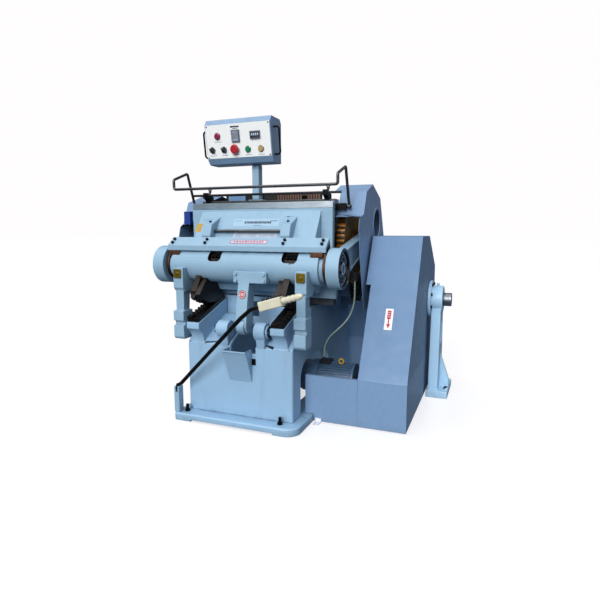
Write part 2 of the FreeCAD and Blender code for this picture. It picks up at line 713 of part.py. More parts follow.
def intermediate_gears():
    to_middle = angle_between(CRANK_Y, CRANK_Z, MIDDLE_Y, MIDDLE_Z)
    pinion = gear(GEAR_MODULE, CRANK_PINION_TEETH, CRANK_GEAR_X, MIDDLE_Y, MIDDLE_Z,
                  MIDDLE_SHAFT_R + RUNNING, pinion_phase(GEAR_MODULE, to_middle, CRANK_PINION_TEETH))
    to_drive = angle_between(MIDDLE_Y, MIDDLE_Z, DRIVE_Y, DRIVE_Z)
    wheel = gear(FAST_MODULE, WHEEL_TEETH, FAST_GEAR_X, MIDDLE_Y, MIDDLE_Z,
                 MIDDLE_SHAFT_R + RUNNING, to_drive)
    return both(pinion) + [wheel]


SEAT_R, SEAT_X = 54.0, (1243.0, 1300.0)


def drive_shaft():
    """The long shaft under the flywheel; its free end is ground to a seat past a groove."""
    shaft = rod_x(DRIVE_SHAFT_R, (-500, SEAT_X[0] - 5), DRIVE_Y, DRIVE_Z)
    groove = rod_x(SEAT_R - 4, (SEAT_X[0] - 6, SEAT_X[0] + 1), DRIVE_Y, DRIVE_Z)
    seat = rod_x(SEAT_R, SEAT_X, DRIVE_Y, DRIVE_Z)
    return [join([shaft, groove, seat])]


def drive_pinion():
    to_drive = angle_between(MIDDLE_Y, MIDDLE_Z, DRIVE_Y, DRIVE_Z)
    phase = pinion_phase(FAST_MODULE, to_drive, DRIVE_PINION_TEETH)
    wheel = gear(FAST_MODULE, DRIVE_PINION_TEETH, (FAST_GEAR_X[0] - 4, FAST_GEAR_X[1] + 4),
                 DRIVE_Y, DRIVE_Z, DRIVE_SHAFT_R - 0.5, phase)
    return [wheel.cut(rod_x(DRIVE_SHAFT_R + RUNNING, (200, 400), DRIVE_Y, DRIVE_Z))]


def grooved(radius, x, y, z, bore_r):
    """A pulley rim with one V-groove for each belt."""
    wheel = rod_x(radius, x, y, z)
    for centre in BELT_XS:
        mouth, floor_half, depth = 8.5, 5.5, 14.0
        section = Part.makePolygon([
            Vector(centre - mouth, y + radius + 1, z), Vector(centre + mouth, y + radius + 1, z),
            Vector(centre + floor_half, y + radius - depth, z),
            Vector(centre - floor_half, y + radius - depth, z),
            Vector(centre - mouth, y + radius + 1, z)])
        groove = Part.Face(section).revolve(Vector(0, y, z), Vector(1, 0, 0), 360)
        wheel = wheel.cut(groove)
    return wheel.cut(rod_x(bore_r, (x[0] - 100, x[1] + 100), y, z))


FLYWHEEL_X = (845.0, 1010.0)


def flywheel():
    wheel = grooved(FLYWHEEL_R, FLYWHEEL_X, DRIVE_Y, DRIVE_Z, DRIVE_SHAFT_R + RUNNING)
    for x in ((FLYWHEEL_X[0] - 1, FLYWHEEL_X[0] + 45), (FLYWHEEL_X[1] - 45, FLYWHEEL_X[1] + 1)):
        ring = rod_x(FLYWHEEL_R - 55, x, DRIVE_Y, DRIVE_Z)
        wheel = wheel.cut(ring.cut(rod_x(120, x, DRIVE_Y, DRIVE_Z)))
    for i in range(6):
        y, z = on_circle(DRIVE_Y, DRIVE_Z, 208, math.radians(60 * i + 30))
        wheel = wheel.cut(rod_x(52, (FLYWHEEL_X[0] - 1, FLYWHEEL_X[1] + 1), y, z))
    return [wheel]


def motor_pulley():
    pulley = grooved(PULLEY_R, (846, 924), MOTOR_Y, MOTOR_Z, 19.0)
    shaft = rod_x(19, (706, 930), MOTOR_Y, MOTOR_Z)
    return [pulley.fuse(shaft).removeSplitter()]


def v_belts():
    """Three belt loops, each the outline of two arcs and two straight runs."""
    solids = []
    gap = math.hypot(DRIVE_Y - MOTOR_Y, DRIVE_Z - MOTOR_Z)
    lean = angle_between(MOTOR_Y, MOTOR_Z, DRIVE_Y, DRIVE_Z)
    for centre in BELT_XS:
        loops = []
        for inset in (1.0, 9.0):
            big, small = FLYWHEEL_R - inset, PULLEY_R - inset
            spread = math.acos((big - small) / gap)
            points = {}
            for name, y, z, radius in (("big", DRIVE_Y, DRIVE_Z, big),
                                       ("small", MOTOR_Y, MOTOR_Z, small)):
                for side in (1, -1):
                    angle = lean + math.pi + side * spread
                    points[name, side] = Vector(centre - 4, *on_circle(y, z, radius, angle))
            far = Vector(centre - 4, *on_circle(DRIVE_Y, DRIVE_Z, big, lean))
            near = Vector(centre - 4, *on_circle(MOTOR_Y, MOTOR_Z, small, lean + math.pi))
            loops.append(Part.Wire([
                Part.Arc(points["big", 1], far, points["big", -1]).toShape(),
                Part.LineSegment(points["big", -1], points["small", -1]).toShape(),
                Part.Arc(points["small", -1], near, points["small", 1]).toShape(),
                Part.LineSegment(points["small", 1], points["big", 1]).toShape()]))
        outer, inner = (Part.Face(loop).extrude(Vector(8, 0, 0)) for loop in loops)
        solids.append(outer.cut(inner))
    return solids


# ---------------------------------------------------------------- sheet guards

def sheet_shell(outline, x, open_side):
    """A hollow of sheet metal: the outline extruded, with the named side left open."""
    block = slab_x(outline, x)
    if open_side == "low":
        faces = [f for f in block.Faces if f.BoundBox.ZMax < f.BoundBox.ZMin + 1
                 and f.BoundBox.ZMin < block.BoundBox.ZMin + 1]
    else:
        faces = [f for f in block.Faces if f.BoundBox.XMax < x[0] + 1]
    return block.makeThickness(faces, -SHEET, 0.01)


GUARD_LOW, GUARD_BEND_Z = 6.0, 335.0
GUARD_X, GUARD_STEP_X, GUARD_STEP_Z = (788.0, 1122.0), 754.0, 950.0


def belt_guard():
    slant_y = 220 + (GUARD_STEP_Z - GUARD_BEND_Z) * 516 / 960
    rear_step_y = 1566 + (1031 - GUARD_STEP_Z) * 94 / 1031
    outline = [(220, GUARD_LOW), (220, GUARD_BEND_Z), (736, 1295), (1123, 1295), (1566, 1031),
               (1660, GUARD_LOW)]
    upper = [(slant_y, GUARD_STEP_Z), (736, 1295), (1123, 1295), (1566, 1031),
             (rear_step_y, GUARD_STEP_Z)]
    shell = sheet_shell(outline, GUARD_X, "low")
    side = (GUARD_STEP_X, GUARD_X[0] + SHEET)
    step = slab_x(upper, side)
    inset = [(slant_y + 6, GUARD_STEP_Z + SHEET), (739, 1295 - SHEET), (1121, 1295 - SHEET),
             (1562, 1029), (rear_step_y - SHEET - 1, GUARD_STEP_Z + SHEET)]
    shell = shell.fuse(step).cut(slab_x(inset, (side[0] + SHEET, side[1] + 1)))
    for x in ((GUARD_STEP_X - 1, GUARD_X[0] + SHEET + 1), (GUARD_X[1] - SHEET - 1, GUARD_X[1] + 1)):
        shell = shell.cut(rod_x(DRIVE_SHAFT_R + 8, x, DRIVE_Y, DRIVE_Z))
    shell = shell.cut(rod_x(30, (GUARD_X[0] - 1, GUARD_X[0] + SHEET + 1), MOTOR_Y, MOTOR_Z))
    near = BASE_HALF + 7
    low_panel = box((near, GUARD_X[0]), (220, 220 + SHEET), (GUARD_LOW, GUARD_BEND_Z))
    low_panel = low_panel.cut(box((near - 1, PLATE_HALF + 4), (219, 226), (0, PLATE_T + 2)))
    lip = box((near, GUARD_X[0]), (220 + SHEET, 246), (GUARD_BEND_Z - SHEET, GUARD_BEND_Z))
    foot = join([box((488, 532), (158, 220), (0, 6)), box((488, 532), (213, 220), (0, 30))])
    rear = (1556, 1556 + SHEET)
    rear_panel = join([box((300, GUARD_X[0]), rear, (GUARD_LOW, GUARD_STEP_Z)),
                       box((300, GUARD_STEP_X), rear, (GUARD_STEP_Z, 1010))])
    return [shell.removeSplitter(), join([low_panel, lip]), foot, rear_panel]


def gear_cover(front, window_z):
    """A sheet cover around a crank gear, open towards the frame, below, and under its lip.

    front lists the (y, z) corners of its top, from the lip back to the rear shoulder."""
    x = (545.0, 740.0)
    lip_y, lip_z = front[0]
    outline = front + [(1182, 1296), (1182, 850), (1110, 760), (560, 760), (537, 820),
                       (446, 1062), (lip_y - 22, lip_z - 72)]
    inside = [(lip_y - 30, lip_z - SHEET)] + [(y + 3, z - SHEET) for y, z in front[1:]]
    inside += [(1178, 1295), (1178, 852), (1107, 759), (530, 759), (500, 820), (400, 1062)]
    cover = slab_x(outline, x).cut(slab_x(inside, (x[0] - 1, x[1] - SHEET)))
    window = rod_x(108, (x[1] - SHEET - 1, x[1] + 6), WINDOW_Y, window_z)
    rim = rod_x(122, (x[1], x[1] + 5), WINDOW_Y, window_z)
    return join([cover, rim]).cut(window)


WINDOW_Y = 912.0


def gear_cover_right():
    front = [(398, 1421), (509, 1452), (580, 1611), (766, 1678), (1024, 1590)]
    top = slab_x([(584, 1612.5), (766, 1678), (1024, 1590), (1022, 1586), (766, 1673.8),
                  (586, 1609)], (490, 545))
    return [join([gear_cover(front, 1391), top])]


def gear_cover_left():
    front = [(430, 1363), (478, 1394), (552, 1560), (766, 1622), (1024, 1562)]
    return [mirror(gear_cover(front, 1333))]


# ---------------------------------------------------------------- motor and outboard bearing

def motor_body():
    core = rod_x(MOTOR_R - 12, (432, 700), MOTOR_Y, MOTOR_Z)
    fins = []
    for i in range(36):
        angle = 360.0 * i / 36
        fin = box((440, 690), (MOTOR_Y + MOTOR_R - 20, MOTOR_Y + MOTOR_R), (MOTOR_Z - 2.2, MOTOR_Z + 2.2))
        fin.rotate(Vector(0, MOTOR_Y, MOTOR_Z), Vector(1, 0, 0), angle)
        fins.append(fin)
    shield = rod_x(MOTOR_R, (690, 704), MOTOR_Y, MOTOR_Z)
    foot = box((482, 660), (MOTOR_Y - 108, MOTOR_Y + 108), (78, 112))
    leg = box((492, 650), (MOTOR_Y - 70, MOTOR_Y + 70), (100, 190))
    body = join([core, shield, foot, leg] + fins)
    body = body.cut(rod_x(19.5, (600, 705), MOTOR_Y, MOTOR_Z))
    eye = Part.makeTorus(17, 5.5, Vector(600, MOTOR_Y - 34, MOTOR_Z + MOTOR_R + 19),
                         Vector(0, 1, 0))
    return [body, eye]


def motor_fan_cover():
    cover = rod_x(MOTOR_R, (290, 431), MOTOR_Y, MOTOR_Z)
    cover = round_edges(cover, 18, lambda e: e.Length > 500 and middle(e).x < 300)
    grille = []
    for i in range(6):
        y, z = on_circle(MOTOR_Y, MOTOR_Z, 62, math.radians(60 * i))
        grille.append(rod_x(22, (289, 300), y, z))
    for hole in grille:
        cover = cover.cut(hole)
    plug = rod_z(19, 400, MOTOR_Y, (MOTOR_Z + MOTOR_R - 6, MOTOR_Z + MOTOR_R + 8))
    return [join([cover, plug])]


def motor_slide_base():
    """Two rails and a plate on the floor that carry the motor."""
    rails = [box((478, 664), (MOTOR_Y + y, MOTOR_Y + y + 50), (0, 62)) for y in (-120, 70)]
    return [join(rails + [box((478, 664), (MOTOR_Y - 125, MOTOR_Y + 125), (60, 78))])]


def outboard_pedestal():
    """A ribbed column on a foot; the foot has one row of bolt holes outside the column."""
    column = slab_x([(1070, 50), (1122, 640), (1122, 716), (1318, 716), (1318, 640),
                     (1395, 50)], (1153, 1228))
    foot = box((1140, 1308), (1040, 1440), (0, 58))
    foot = round_edges(foot, 10, lambda e: runs_along(e, Vector(0, 0, 1)))
    rib = slab_z([(1226, 1205), (1302, 1205), (1302, 1235), (1226, 1235)], (56, 330))
    rib = rib.cut(slab_x([(1200, 331), (1200, 331.5), (1240, 331.5), (1240, 331)], (1200, 1310)))
    slope = Part.Face(Part.makePolygon([Vector(1228, 1180, 340), Vector(1310, 1180, 340),
                                        Vector(1310, 1180, 100), Vector(1228, 1180, 340)]))
    rib = rib.cut(slope.extrude(Vector(0, 80, 0)))
    body = join([column, foot, rib])
    for y0, y1, z0, z1 in ((1150, 1290, 420, 600), (1135, 1305, 120, 370)):
        for x in ((1150, 1168), (1213, 1229)):
            pocket = box(x, (y0, y1), (z0, z1))
            pocket = round_edges(pocket, 20, lambda e: runs_along(e, Vector(1, 0, 0)))
            if x[1] < 1200 or z0 > 400:
                body = body.cut(pocket)
    body = body.cut(rod_x(HOUSING_R + 0.3, (1100, 1300), DRIVE_Y, DRIVE_Z))
    for y in PEDESTAL_HOLE_YS:
        body = body.cut(rod_z(PEDESTAL_HOLE_R, PEDESTAL_HOLE_X, y, (-1, 60)))
    return [body]


HOUSING_R = 110.0
PEDESTAL_HOLE_X, PEDESTAL_HOLE_YS, PEDESTAL_HOLE_R = 1272.0, (1080.0, 1400.0), 11.0


def outboard_bearing():
    """A round bearing housing with a bolted flange ring and a grease cup."""
    housing = rod_x(HOUSING_R, (1126, 1236), DRIVE_Y, DRIVE_Z)
    housing = round_edges(housing, 6, lambda e: e.Length > 500 and middle(e).x > 1200)
    ring = rod_x(150, (1126, 1150), DRIVE_Y, DRIVE_Z)
    cup = rod_z(12, 1190, DRIVE_Y, (DRIVE_Z + HOUSING_R - 8, DRIVE_Z + HOUSING_R + 22))
    body = join([housing, ring, cup])
    body = body.cut(rod_x(DRIVE_SHAFT_R + RUNNING, (1100, 1300), DRIVE_Y, DRIVE_Z))
    solids = [body]
    for i in range(8):
        angle = math.radians(45 * i + 22.5)
        if math.sin(angle) > -0.5:
            y, z = on_circle(DRIVE_Y, DRIVE_Z, 131, angle)
            solids.append(hex_head(Vector(1150, y, z), Vector(1, 0, 0), 22, 11))
    return solids


# ---------------------------------------------------------------- cable

CABLE_R = 6.0
CABLE_POINTS = [Vector(*p) for p in (
    (700, 440, 985), (700, 440, 912), (696, 447, 832), (674, 455, 752), (630, 460, 681),
    (572, 463, 624), (515, 468, 572), (474, 478, 510), (459, 487, 445), (460, 490, 402))]


def cable_radii():
    radii = []
    for a, b, c in zip(CABLE_POINTS, CABLE_POINTS[1:], CABLE_POINTS[2:]):
        turn = (b - a).getAngle(c - b)
        radii.append(0.45 * min((b - a).Length, (c - b).Length) / math.tan(turn / 2))
    return radii


def power_cable():
    radii = cable_radii()
    solid, length = tube(CABLE_POINTS, radii, CABLE_R)
    print("cable length %.0f, volume ratio %.4f, radii %s" % (
        length, solid.Volume / (math.pi * CABLE_R ** 2 * length), [round(r) for r in radii]))
    return [solid]


def cable_glands():
    """The elbow on the gear cover's bracket and the gland on the motor's terminal box."""
    elbow = join([rod_z(11, 700, 440, (985, 1020)), box((688, 712), (428, 452), (1010, 1040))])
    arm = slab_z([(684, 430), (736, 430), (736, 520), (712, 520), (712, 452), (684, 452)],
                 (1040, 1046))
    top_of_motor = MOTOR_Z + MOTOR_R
    terminal = box((436, 520), (452, 530), (top_of_motor - 20, top_of_motor + 18))
    terminal = terminal.cut(rod_x(MOTOR_R + 0.3, (400, 700), MOTOR_Y, MOTOR_Z))
    gland = rod_z(10, 460, 490, (top_of_motor + 18, 402))
    return [join([elbow, arm]), join([terminal, gland])]


# ---------------------------------------------------------------- top of the bed

POST_X, POST_Y, POST_HALF = -105.0, 545.0, 28.0
POST_Z = (1560.0, 1827.0)


def control_post():
    x = (POST_X - POST_HALF, POST_X + POST_HALF)
    post = box(x, (POST_Y - 38, POST_Y - 38 + 68), (POST_Z[0] + 10, POST_Z[1]))
    post = round_edges(post, 6, lambda e: runs_along(e, Vector(0, 0, 1)))
    foot = box((POST_X - 60, POST_X + 60), (508, 560), (POST_Z[0], POST_Z[0] + 10))
    return [join([post, foot])]


LOCK_Y, LOCK_Z = 418.0, 1602.0
CLAMP_X = 485.0


def chase_lock_rod():
    return [rod_x(9, (-600, 600), LOCK_Y, LOCK_Z)]


def chase_clamps():
    """Clamps on the bed's top: each holds the lock rod and reaches over the chase."""
    body = slab_x([(438, 1562), (438, 1549), (456, 1549), (456, 1561), (505, 1561), (505, 1592),
                   (436, 1622), (402, 1622), (402, 1582), (420, 1576)], (CLAMP_X - 17, CLAMP_X + 17))
    body = body.cut(rod_x(9.05, (CLAMP_X - 30, CLAMP_X + 30), LOCK_Y, LOCK_Z))
    body = body.cut(rod_z(6.05, CLAMP_X, 478, (1571, 1640)))
    knob = rod_z(17, 300, 490, (1561, 1592))
    knob = round_edges(knob, 8, lambda e: middle(e).z > 1590)
    rail = box((-400, 400), (578, 602), (1548, 1608))
    return both(body) + [knob, rail]


def clamp_screw(side):
    """A wing screw: a spindle and two splayed wings."""
    x = side * CLAMP_X
    spindle = rod_z(6, x, 478, (1573, 1640))
    hub = rod_z(11, x, 478, (1628, 1648))
    wings = []
    for lean in (-1, 1):
        wing = box((x - 3, x + 3), (474, 482), (1640, 1676))
        wing.rotate(Vector(x, 478, 1640), Vector(0, 1, 0), 48 * lean)
        wings.append(wing)
    return [join([spindle, hub] + wings)]


GATE_X, GATE_R = 635.0, 10.0
GATE_PIVOT = (500.0, 1505.0)


def gate_brackets():
    """Arms from the ends of the bed, each with a pin for the safety gate."""
    y, z = GATE_PIVOT
    arm = box((BED_HALF, 612), (y - 15, y + 5), (z - 24, z + 24))
    pin = rod_x(8, (605, 652), y, z)
    cheek = box((606, 616), (y - 17, y + 17), (z - 24, z + 24))
    return both(join([arm, cheek, pin]))


def safety_gate():
    """A bent tube across the feed opening, with a raised loop and an eye at each end."""
    y, z = GATE_PIVOT
    side = [Vector(GATE_X, y, z), Vector(GATE_X, 398, 1770), Vector(GATE_X, 220, 1708),
            Vector(GATE_X, 221, 1638)]
    points = side + [Vector(-p.x, p.y, p.z) for p in reversed(side)]
    bar, _ = tube(points, [16, 16, 16, 16, 16, 16], GATE_R)
    eyes = []
    for sign in (1, -1):
        low = GATE_X - 9 if sign > 0 else -GATE_X - 9
        eyes.append(rod_x(17, (low, low + 18), y, z))
    gate = join([bar] + eyes)
    return [gate.cut(rod_x(8 + RUNNING, (-700, 700), y, z))]


def limit_switch():
    """A blue position switch beside the left gear cover, on a small plate."""
    case = box((-648, -594), (352, 400), (1382, 1482))
    case = round_edges(case, 5, lambda e: runs_along(e, Vector(0, 0, 1)))
    plate = box((-640, -606), (400, 428), (1400, 1412))
    stem = box((-640, -606), (422, 428), (1330, 1400))
    return [case, join([plate, stem])]


# ---------------------------------------------------------------- clutch lever

LEVER_PIVOT = Vector(-450, -68, 228)
LEVER_BEND = Vector(136, -212, 786)
HANDLE_START = Vector(298, -250, 878)
HANDLE_DIR = Vector(268, -20, 80).normalize()
HANDLE_LEN, HANDLE_GRIP_LEN = 158.0, 122.0
BUTTON_TRAVEL = 4.0


def handle_frame():
    """Placement of the handle: X along it, Z up out of its button face."""
    across = Vector(0, 0, 1).cross(HANDLE_DIR).normalize()
    up = HANDLE_DIR.cross(across)
    return FreeCAD.Placement(HANDLE_START, FreeCAD.Rotation(HANDLE_DIR, across, up, "XYZ"))


def lever_bracket():
    x, y, z = LEVER_PIVOT
    column = box((x - 18, x + 22), (-96, -42), (PLATE_T, z - 30))
    ears = [box((x - 18 + dx, x - 6 + dx), (-96, -42), (z - 34, z + 13)) for dx in (0, 28)]
    pin = rod_x(9, (x - 24, x + 28), y, z)
    return [join([column, pin] + ears)]


def clutch_lever():
    x, y, z = LEVER_PIVOT
    neck = HANDLE_START - HANDLE_DIR * 70
    path = [LEVER_PIVOT + Vector(0, 0, 6), LEVER_BEND, neck, HANDLE_START]
    solid, _ = tube(path, [150, 150], 13.5)
    block = box((x - 5, x + 9), (y - 20, y + 20), (z - 22, z + 30))
    body = join([solid.cut(box((x - 40, x + 50), (-140, -20), (z - 60, z + 26))), block])
    return [body.cut(rod_x(9 + RUNNING, (x - 60, x + 60), y, z))]


def lever_handle():
    """The moulded button box and its round ribbed grip."""
    case = box((0, HANDLE_LEN), (-27, 27), (-30, 30))
    case = round_edges(case, 8, lambda e: runs_along(e, Vector(1, 0, 0)))
    grip = rod_x(17, (HANDLE_LEN, HANDLE_LEN + HANDLE_GRIP_LEN), 0, 0)
    rings = []
    for i in range(4):
        start = HANDLE_LEN + 10 + 30 * i
        rings.append(rod_x(20.5, (start, start + 18), 0, 0))
    end = Part.makeSphere(17, Vector(HANDLE_LEN + HANDLE_GRIP_LEN, 0, 0))
    body = join([case, grip, end] + rings)
    for i in range(4):
        body = body.cut(rod_z(11.3, 30 + 33 * i, 0, (18, 40)))
    body.Placement = handle_frame()
    return [body]


def lever_button(index):
    """A round push-button that travels into the handle."""
    cap = rod_z(11, 30 + 33 * index, 0, (18 + BUTTON_TRAVEL + 1, 44))
    cap = round_edges(cap, 3, lambda e: middle(e).z > 43 and e.Length > 50)
    cap.Placement = handle_frame()
    return [cap]


# ---------------------------------------------------------------- control box

CONTROL_X = (-460.0, 80.0)
PANEL_LOW = Vector(0, 420, 1870)
PANEL_TOP = Vector(0, 378, 2112)
PANEL_UP = (PANEL_TOP - PANEL_LOW).normalize()
PANEL_OUT = Vector(0, -PANEL_UP.z, PANEL_UP.y)
PANEL_T = 3.0


def on_panel(x, up, out):
    """A point on the panel: x along it, up from its lower edge, out in front of it."""
    return Vector(x, 0, 0) + PANEL_LOW + PANEL_UP * up + PANEL_OUT * out


def panel_disc(radius, x, up, out):
    """A round piece that stands on the panel from out[0] to out[1]."""
    return Part.makeCylinder(radius, out[1] - out[0], on_panel(x, up, out[0]), PANEL_OUT)


def control_box_shell():
    outline = [(446, 1834), (420, 1870), (378, 2112), (402, 2150), (550, 2150), (574, 2120),
               (574, 1830), (462, 1830)]
    inner = [(450, 1837.5), (424.2, 1872), (382.5, 2111), (404.5, 2146), (548, 2146), (570, 2118.5),
             (570, 1834), (464, 1834)]
    shell = slab_x(outline, CONTROL_X)
    shell = shell.cut(slab_x(inner, (CONTROL_X[0] + SHEET, CONTROL_X[1] - SHEET)))
    window = slab_x([(396, 1880), (436, 1887), (398, 2105), (358, 2098)],
                    (CONTROL_X[0] + 14, CONTROL_X[1] - 14))
    return [shell.cut(window)]


def control_panel():
    length = (PANEL_TOP - PANEL_LOW).Length
    corners = []
    for x, up in ((CONTROL_X[0] + 6, 4), (CONTROL_X[1] - 6, 4),
                  (CONTROL_X[1] - 6, length - 2), (CONTROL_X[0] + 6, length - 2)):
        corners.append(on_panel(x, up, 0.2))
    plate = Part.Face(Part.makePolygon(corners + corners[:1])).extrude(PANEL_OUT * PANEL_T)
    return [plate]


DISPLAY_BASE = PANEL_T + 0.2
DISPLAYS = ((-203, 156, 66, 88), (-44, 155, 82, 54))
LAMP = (-356, 162)
SWITCHES = {"selector_left": (-408, 65), "selector_right": (-309, 63)}
BUTTONS = {"start_button": (-110, 59), "jog_button": (-5, 57)}
EMERGENCY_STOP = (-212, 65)
PANEL_TRAVEL = 3.5
BUTTON_R = 19.0


def panel_displays():
    """Two meters, the pilot lamp, the bezels of the controls and the panel's screws."""
    solids = []
    for x, up, wide, high in DISPLAYS:
        corners = [on_panel(x + dx * wide / 2, up + dy * high / 2, DISPLAY_BASE)
                   for dx, dy in ((-1, -1), (1, -1), (1, 1), (-1, 1))]
        frame = Part.Face(Part.makePolygon(corners + corners[:1])).extrude(PANEL_OUT * 9)
        solids.append(frame)
    lamp = panel_disc(26, LAMP[0], LAMP[1], (DISPLAY_BASE, DISPLAY_BASE + 4))
    solids.append(join([lamp, panel_disc(20, LAMP[0], LAMP[1], (DISPLAY_BASE, DISPLAY_BASE + 16))]))
    for x, up in list(SWITCHES.values()) + list(BUTTONS.values()) + [EMERGENCY_STOP]:
        bezel = panel_disc(BUTTON_R + 5, x, up, (DISPLAY_BASE, DISPLAY_BASE + 5))
        hole = panel_disc(BUTTON_R + 0.3, x, up, (DISPLAY_BASE - 1, DISPLAY_BASE + 6))
        solids.append(bezel.cut(hole))
    for x in (CONTROL_X[0] + 16, CONTROL_X[1] - 16):
        for up in (12, 233):
            solids.append(panel_disc(5, x, up, (DISPLAY_BASE, DISPLAY_BASE + 2)))
    return solids


def panel_button(place):
    """A flush push-button: it has room behind it for its travel."""
    x, up = place
    return [panel_disc(BUTTON_R, x, up, (DISPLAY_BASE + PANEL_TRAVEL + 0.5, DISPLAY_BASE + 13))]


def emergency_stop():
    x, up = EMERGENCY_STOP
    stem = panel_disc(BUTTON_R, x, up, (DISPLAY_BASE + PANEL_TRAVEL + 0.5, DISPLAY_BASE + 18))
    head = panel_disc(33, x, up, (DISPLAY_BASE + 14, DISPLAY_BASE + 32))
    head = round_edges(head, 8, lambda e: e.Length > 150)
    return [join([stem, head])]


def selector(place):
    """A rotary switch: a round body with a raised finger bar."""
    x, up = place
    body = panel_disc(BUTTON_R, x, up, (DISPLAY_BASE + 0.3, DISPLAY_BASE + 10))
    corners = [on_panel(x + dx, up + dy, DISPLAY_BASE + 8) for dx, dy in
               ((-21, 9), (-14, 16), (21, -9), (14, -16))]
    bar = Part.Face(Part.makePolygon(corners + corners[:1])).extrude(PANEL_OUT * 14)
    return [join([body, bar])]


def box_handles():
    """A bow handle at each end of the control box."""
    solids = []
    for x, out in ((CONTROL_X[0], -1), (CONTROL_X[1], 1)):
        reach = x + out * 44
        points = [Vector(x, 462, 1888), Vector(reach, 462, 1888), Vector(reach, 436, 2078),
                  Vector(x, 436, 2078)]
        bow, _ = tube(points, [20, 20], 7)
        solids.append(bow)
    return solids


# ---------------------------------------------------------------- write every sub-part

SUBPARTS = {
    "base_plate": base_plate(),
    "base_housing": base_housing() + boss_caps(),
    "side_frame_left": [side_frame(-1)],
    "side_frame_right": [side_frame(1)],
    "frame_bearings": frame_bearings(),
    "bed_casting": bed_casting(),
    "bed_plate": bed_plate(),
    "chase": chase_frame(),
    "toothed_ways": both(toothed_way()) + both(smooth_track()),
    "oil_catch_box": oil_catch_box(),
    "base_bolts": levelling_screws() + boss_cap_bolts(),
    "platen_casting": platen_casting(),
    "platen_top_strip": platen_top_strip(),
    "cutting_plate": cutting_plate(),
    "gear_sectors": both(gear_sector()),
    "guide_arms": guide_arms(),
    "brass_shoes": brass_shoes(),
    "center_bracket": center_bracket(),
    "center_roller": center_roller(),
    "platen_hardware": grip_rod() + platen_bolts(),
    "throw_off_yoke": throw_off_beam() + throw_off_arms(),
    "cross_shaft": cross_shaft(),
    "draw_bars": both(draw_bar()) + crank_pins(),
    "crank_gears": both(crank_gear()),
    "crank_shaft": crank_shaft(),
    "intermediate_shaft": intermediate_shaft() + intermediate_gears(),
    "drive_shaft": drive_shaft() + drive_pinion(),
    "flywheel": flywheel(),
    "motor_pulley": motor_pulley(),
    "v_belts": v_belts(),
    "belt_guard": belt_guard(),
    "gear_cover_right": gear_cover_right(),
    "gear_cover_left": gear_cover_left(),
    "motor_body": motor_body() + motor_slide_base(),
    "motor_fan_cover": motor_fan_cover(),
    "outboard_pedestal": outboard_pedestal(),
    "outboard_bearing": outboard_bearing(),
    "power_cable": power_cable(),
    "cable_glands": cable_glands(),
    "control_post": control_post(),
    "chase_clamps": chase_clamps() + chase_lock_rod(),
    "clamp_screw_left": clamp_screw(-1),
    "clamp_screw_right": clamp_screw(1),
    "gate_brackets": gate_brackets(),
    "safety_gate": safety_gate(),
    "limit_switch": limit_switch(),
    "lever_bracket": lever_bracket(),
    "clutch_lever": clutch_lever(),
    "lever_handle": lever_handle(),
    "control_box_shell": control_box_shell() + box_handles(),
    "control_panel": control_panel() + panel_displays(),
    "emergency_stop": emergency_stop(),
}
for number in range(4):
    SUBPARTS["lever_button_%d" % (number + 1)] = lever_button(number)
for name, place in BUTTONS.items():
    SUBPARTS[name] = panel_button(place)
for name, place in SWITCHES.items():
    SUBPARTS[name] = selector(place)

for node, shapes in SUBPARTS.items():
    write(node, shapes)
print(len(SUBPARTS), "sub-parts")
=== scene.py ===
import bmesh
import bpy
import json
import math
from mathutils import Matrix, Vector


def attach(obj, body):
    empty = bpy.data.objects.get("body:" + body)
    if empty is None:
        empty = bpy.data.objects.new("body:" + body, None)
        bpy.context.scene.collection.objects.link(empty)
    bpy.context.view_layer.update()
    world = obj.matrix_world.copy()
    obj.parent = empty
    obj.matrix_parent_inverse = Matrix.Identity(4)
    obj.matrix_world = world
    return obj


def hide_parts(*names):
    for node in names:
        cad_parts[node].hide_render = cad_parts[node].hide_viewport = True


# Hand-fed platen die cutting press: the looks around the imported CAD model.
# Metres, in the CAD frame: X to the operator's right, Y away, Z up.

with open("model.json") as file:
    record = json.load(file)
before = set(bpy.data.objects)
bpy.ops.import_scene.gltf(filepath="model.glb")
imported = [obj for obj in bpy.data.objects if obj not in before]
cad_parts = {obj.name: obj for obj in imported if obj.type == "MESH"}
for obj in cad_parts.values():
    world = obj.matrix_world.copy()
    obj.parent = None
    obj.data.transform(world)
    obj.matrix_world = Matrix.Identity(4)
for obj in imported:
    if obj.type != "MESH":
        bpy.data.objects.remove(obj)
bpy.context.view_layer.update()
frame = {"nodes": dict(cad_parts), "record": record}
nodes = frame["nodes"]
scene = bpy.context.scene
BODY_OF = {n: b for b, members in frame["record"]["behaviour"]["bodies"].items() for n in members}

# ---------------------------------------------------------------- camera

CAM_FORWARD = Vector((-0.36317, 0.9215, -0.13762)).normalized()
CAM_RIGHT = Vector((0.93035, 0.36666, 0.0)).normalized()
CAM_UP = CAM_RIGHT.cross(CAM_FORWARD)
lens = bpy.data.cameras.new("camera")
lens.sensor_width = 36.0
lens.lens = 29.65
lens.shift_y = -0.0030
camera = bpy.data.objects.new("camera", lens)
camera.matrix_world = Matrix((CAM_RIGHT, CAM_UP, -CAM_FORWARD)).transposed().to_4x4()
camera.location = (1.611, -2.926, 1.344)
scene.collection.objects.link(camera)
scene.camera = camera

# ---------------------------------------------------------------- finishes


def rgb(code):
    """Linear colour from an sRGB hex code."""
    values = [int(code[i:i + 2], 16) / 255 for i in (0, 2, 4)]
    return tuple(v / 12.92 if v <= 0.04045 else ((v + 0.055) / 1.055) ** 2.4 for v in values)


def shade(colour, factor):
    return tuple(min(1.0, c * factor) for c in colour[:3])


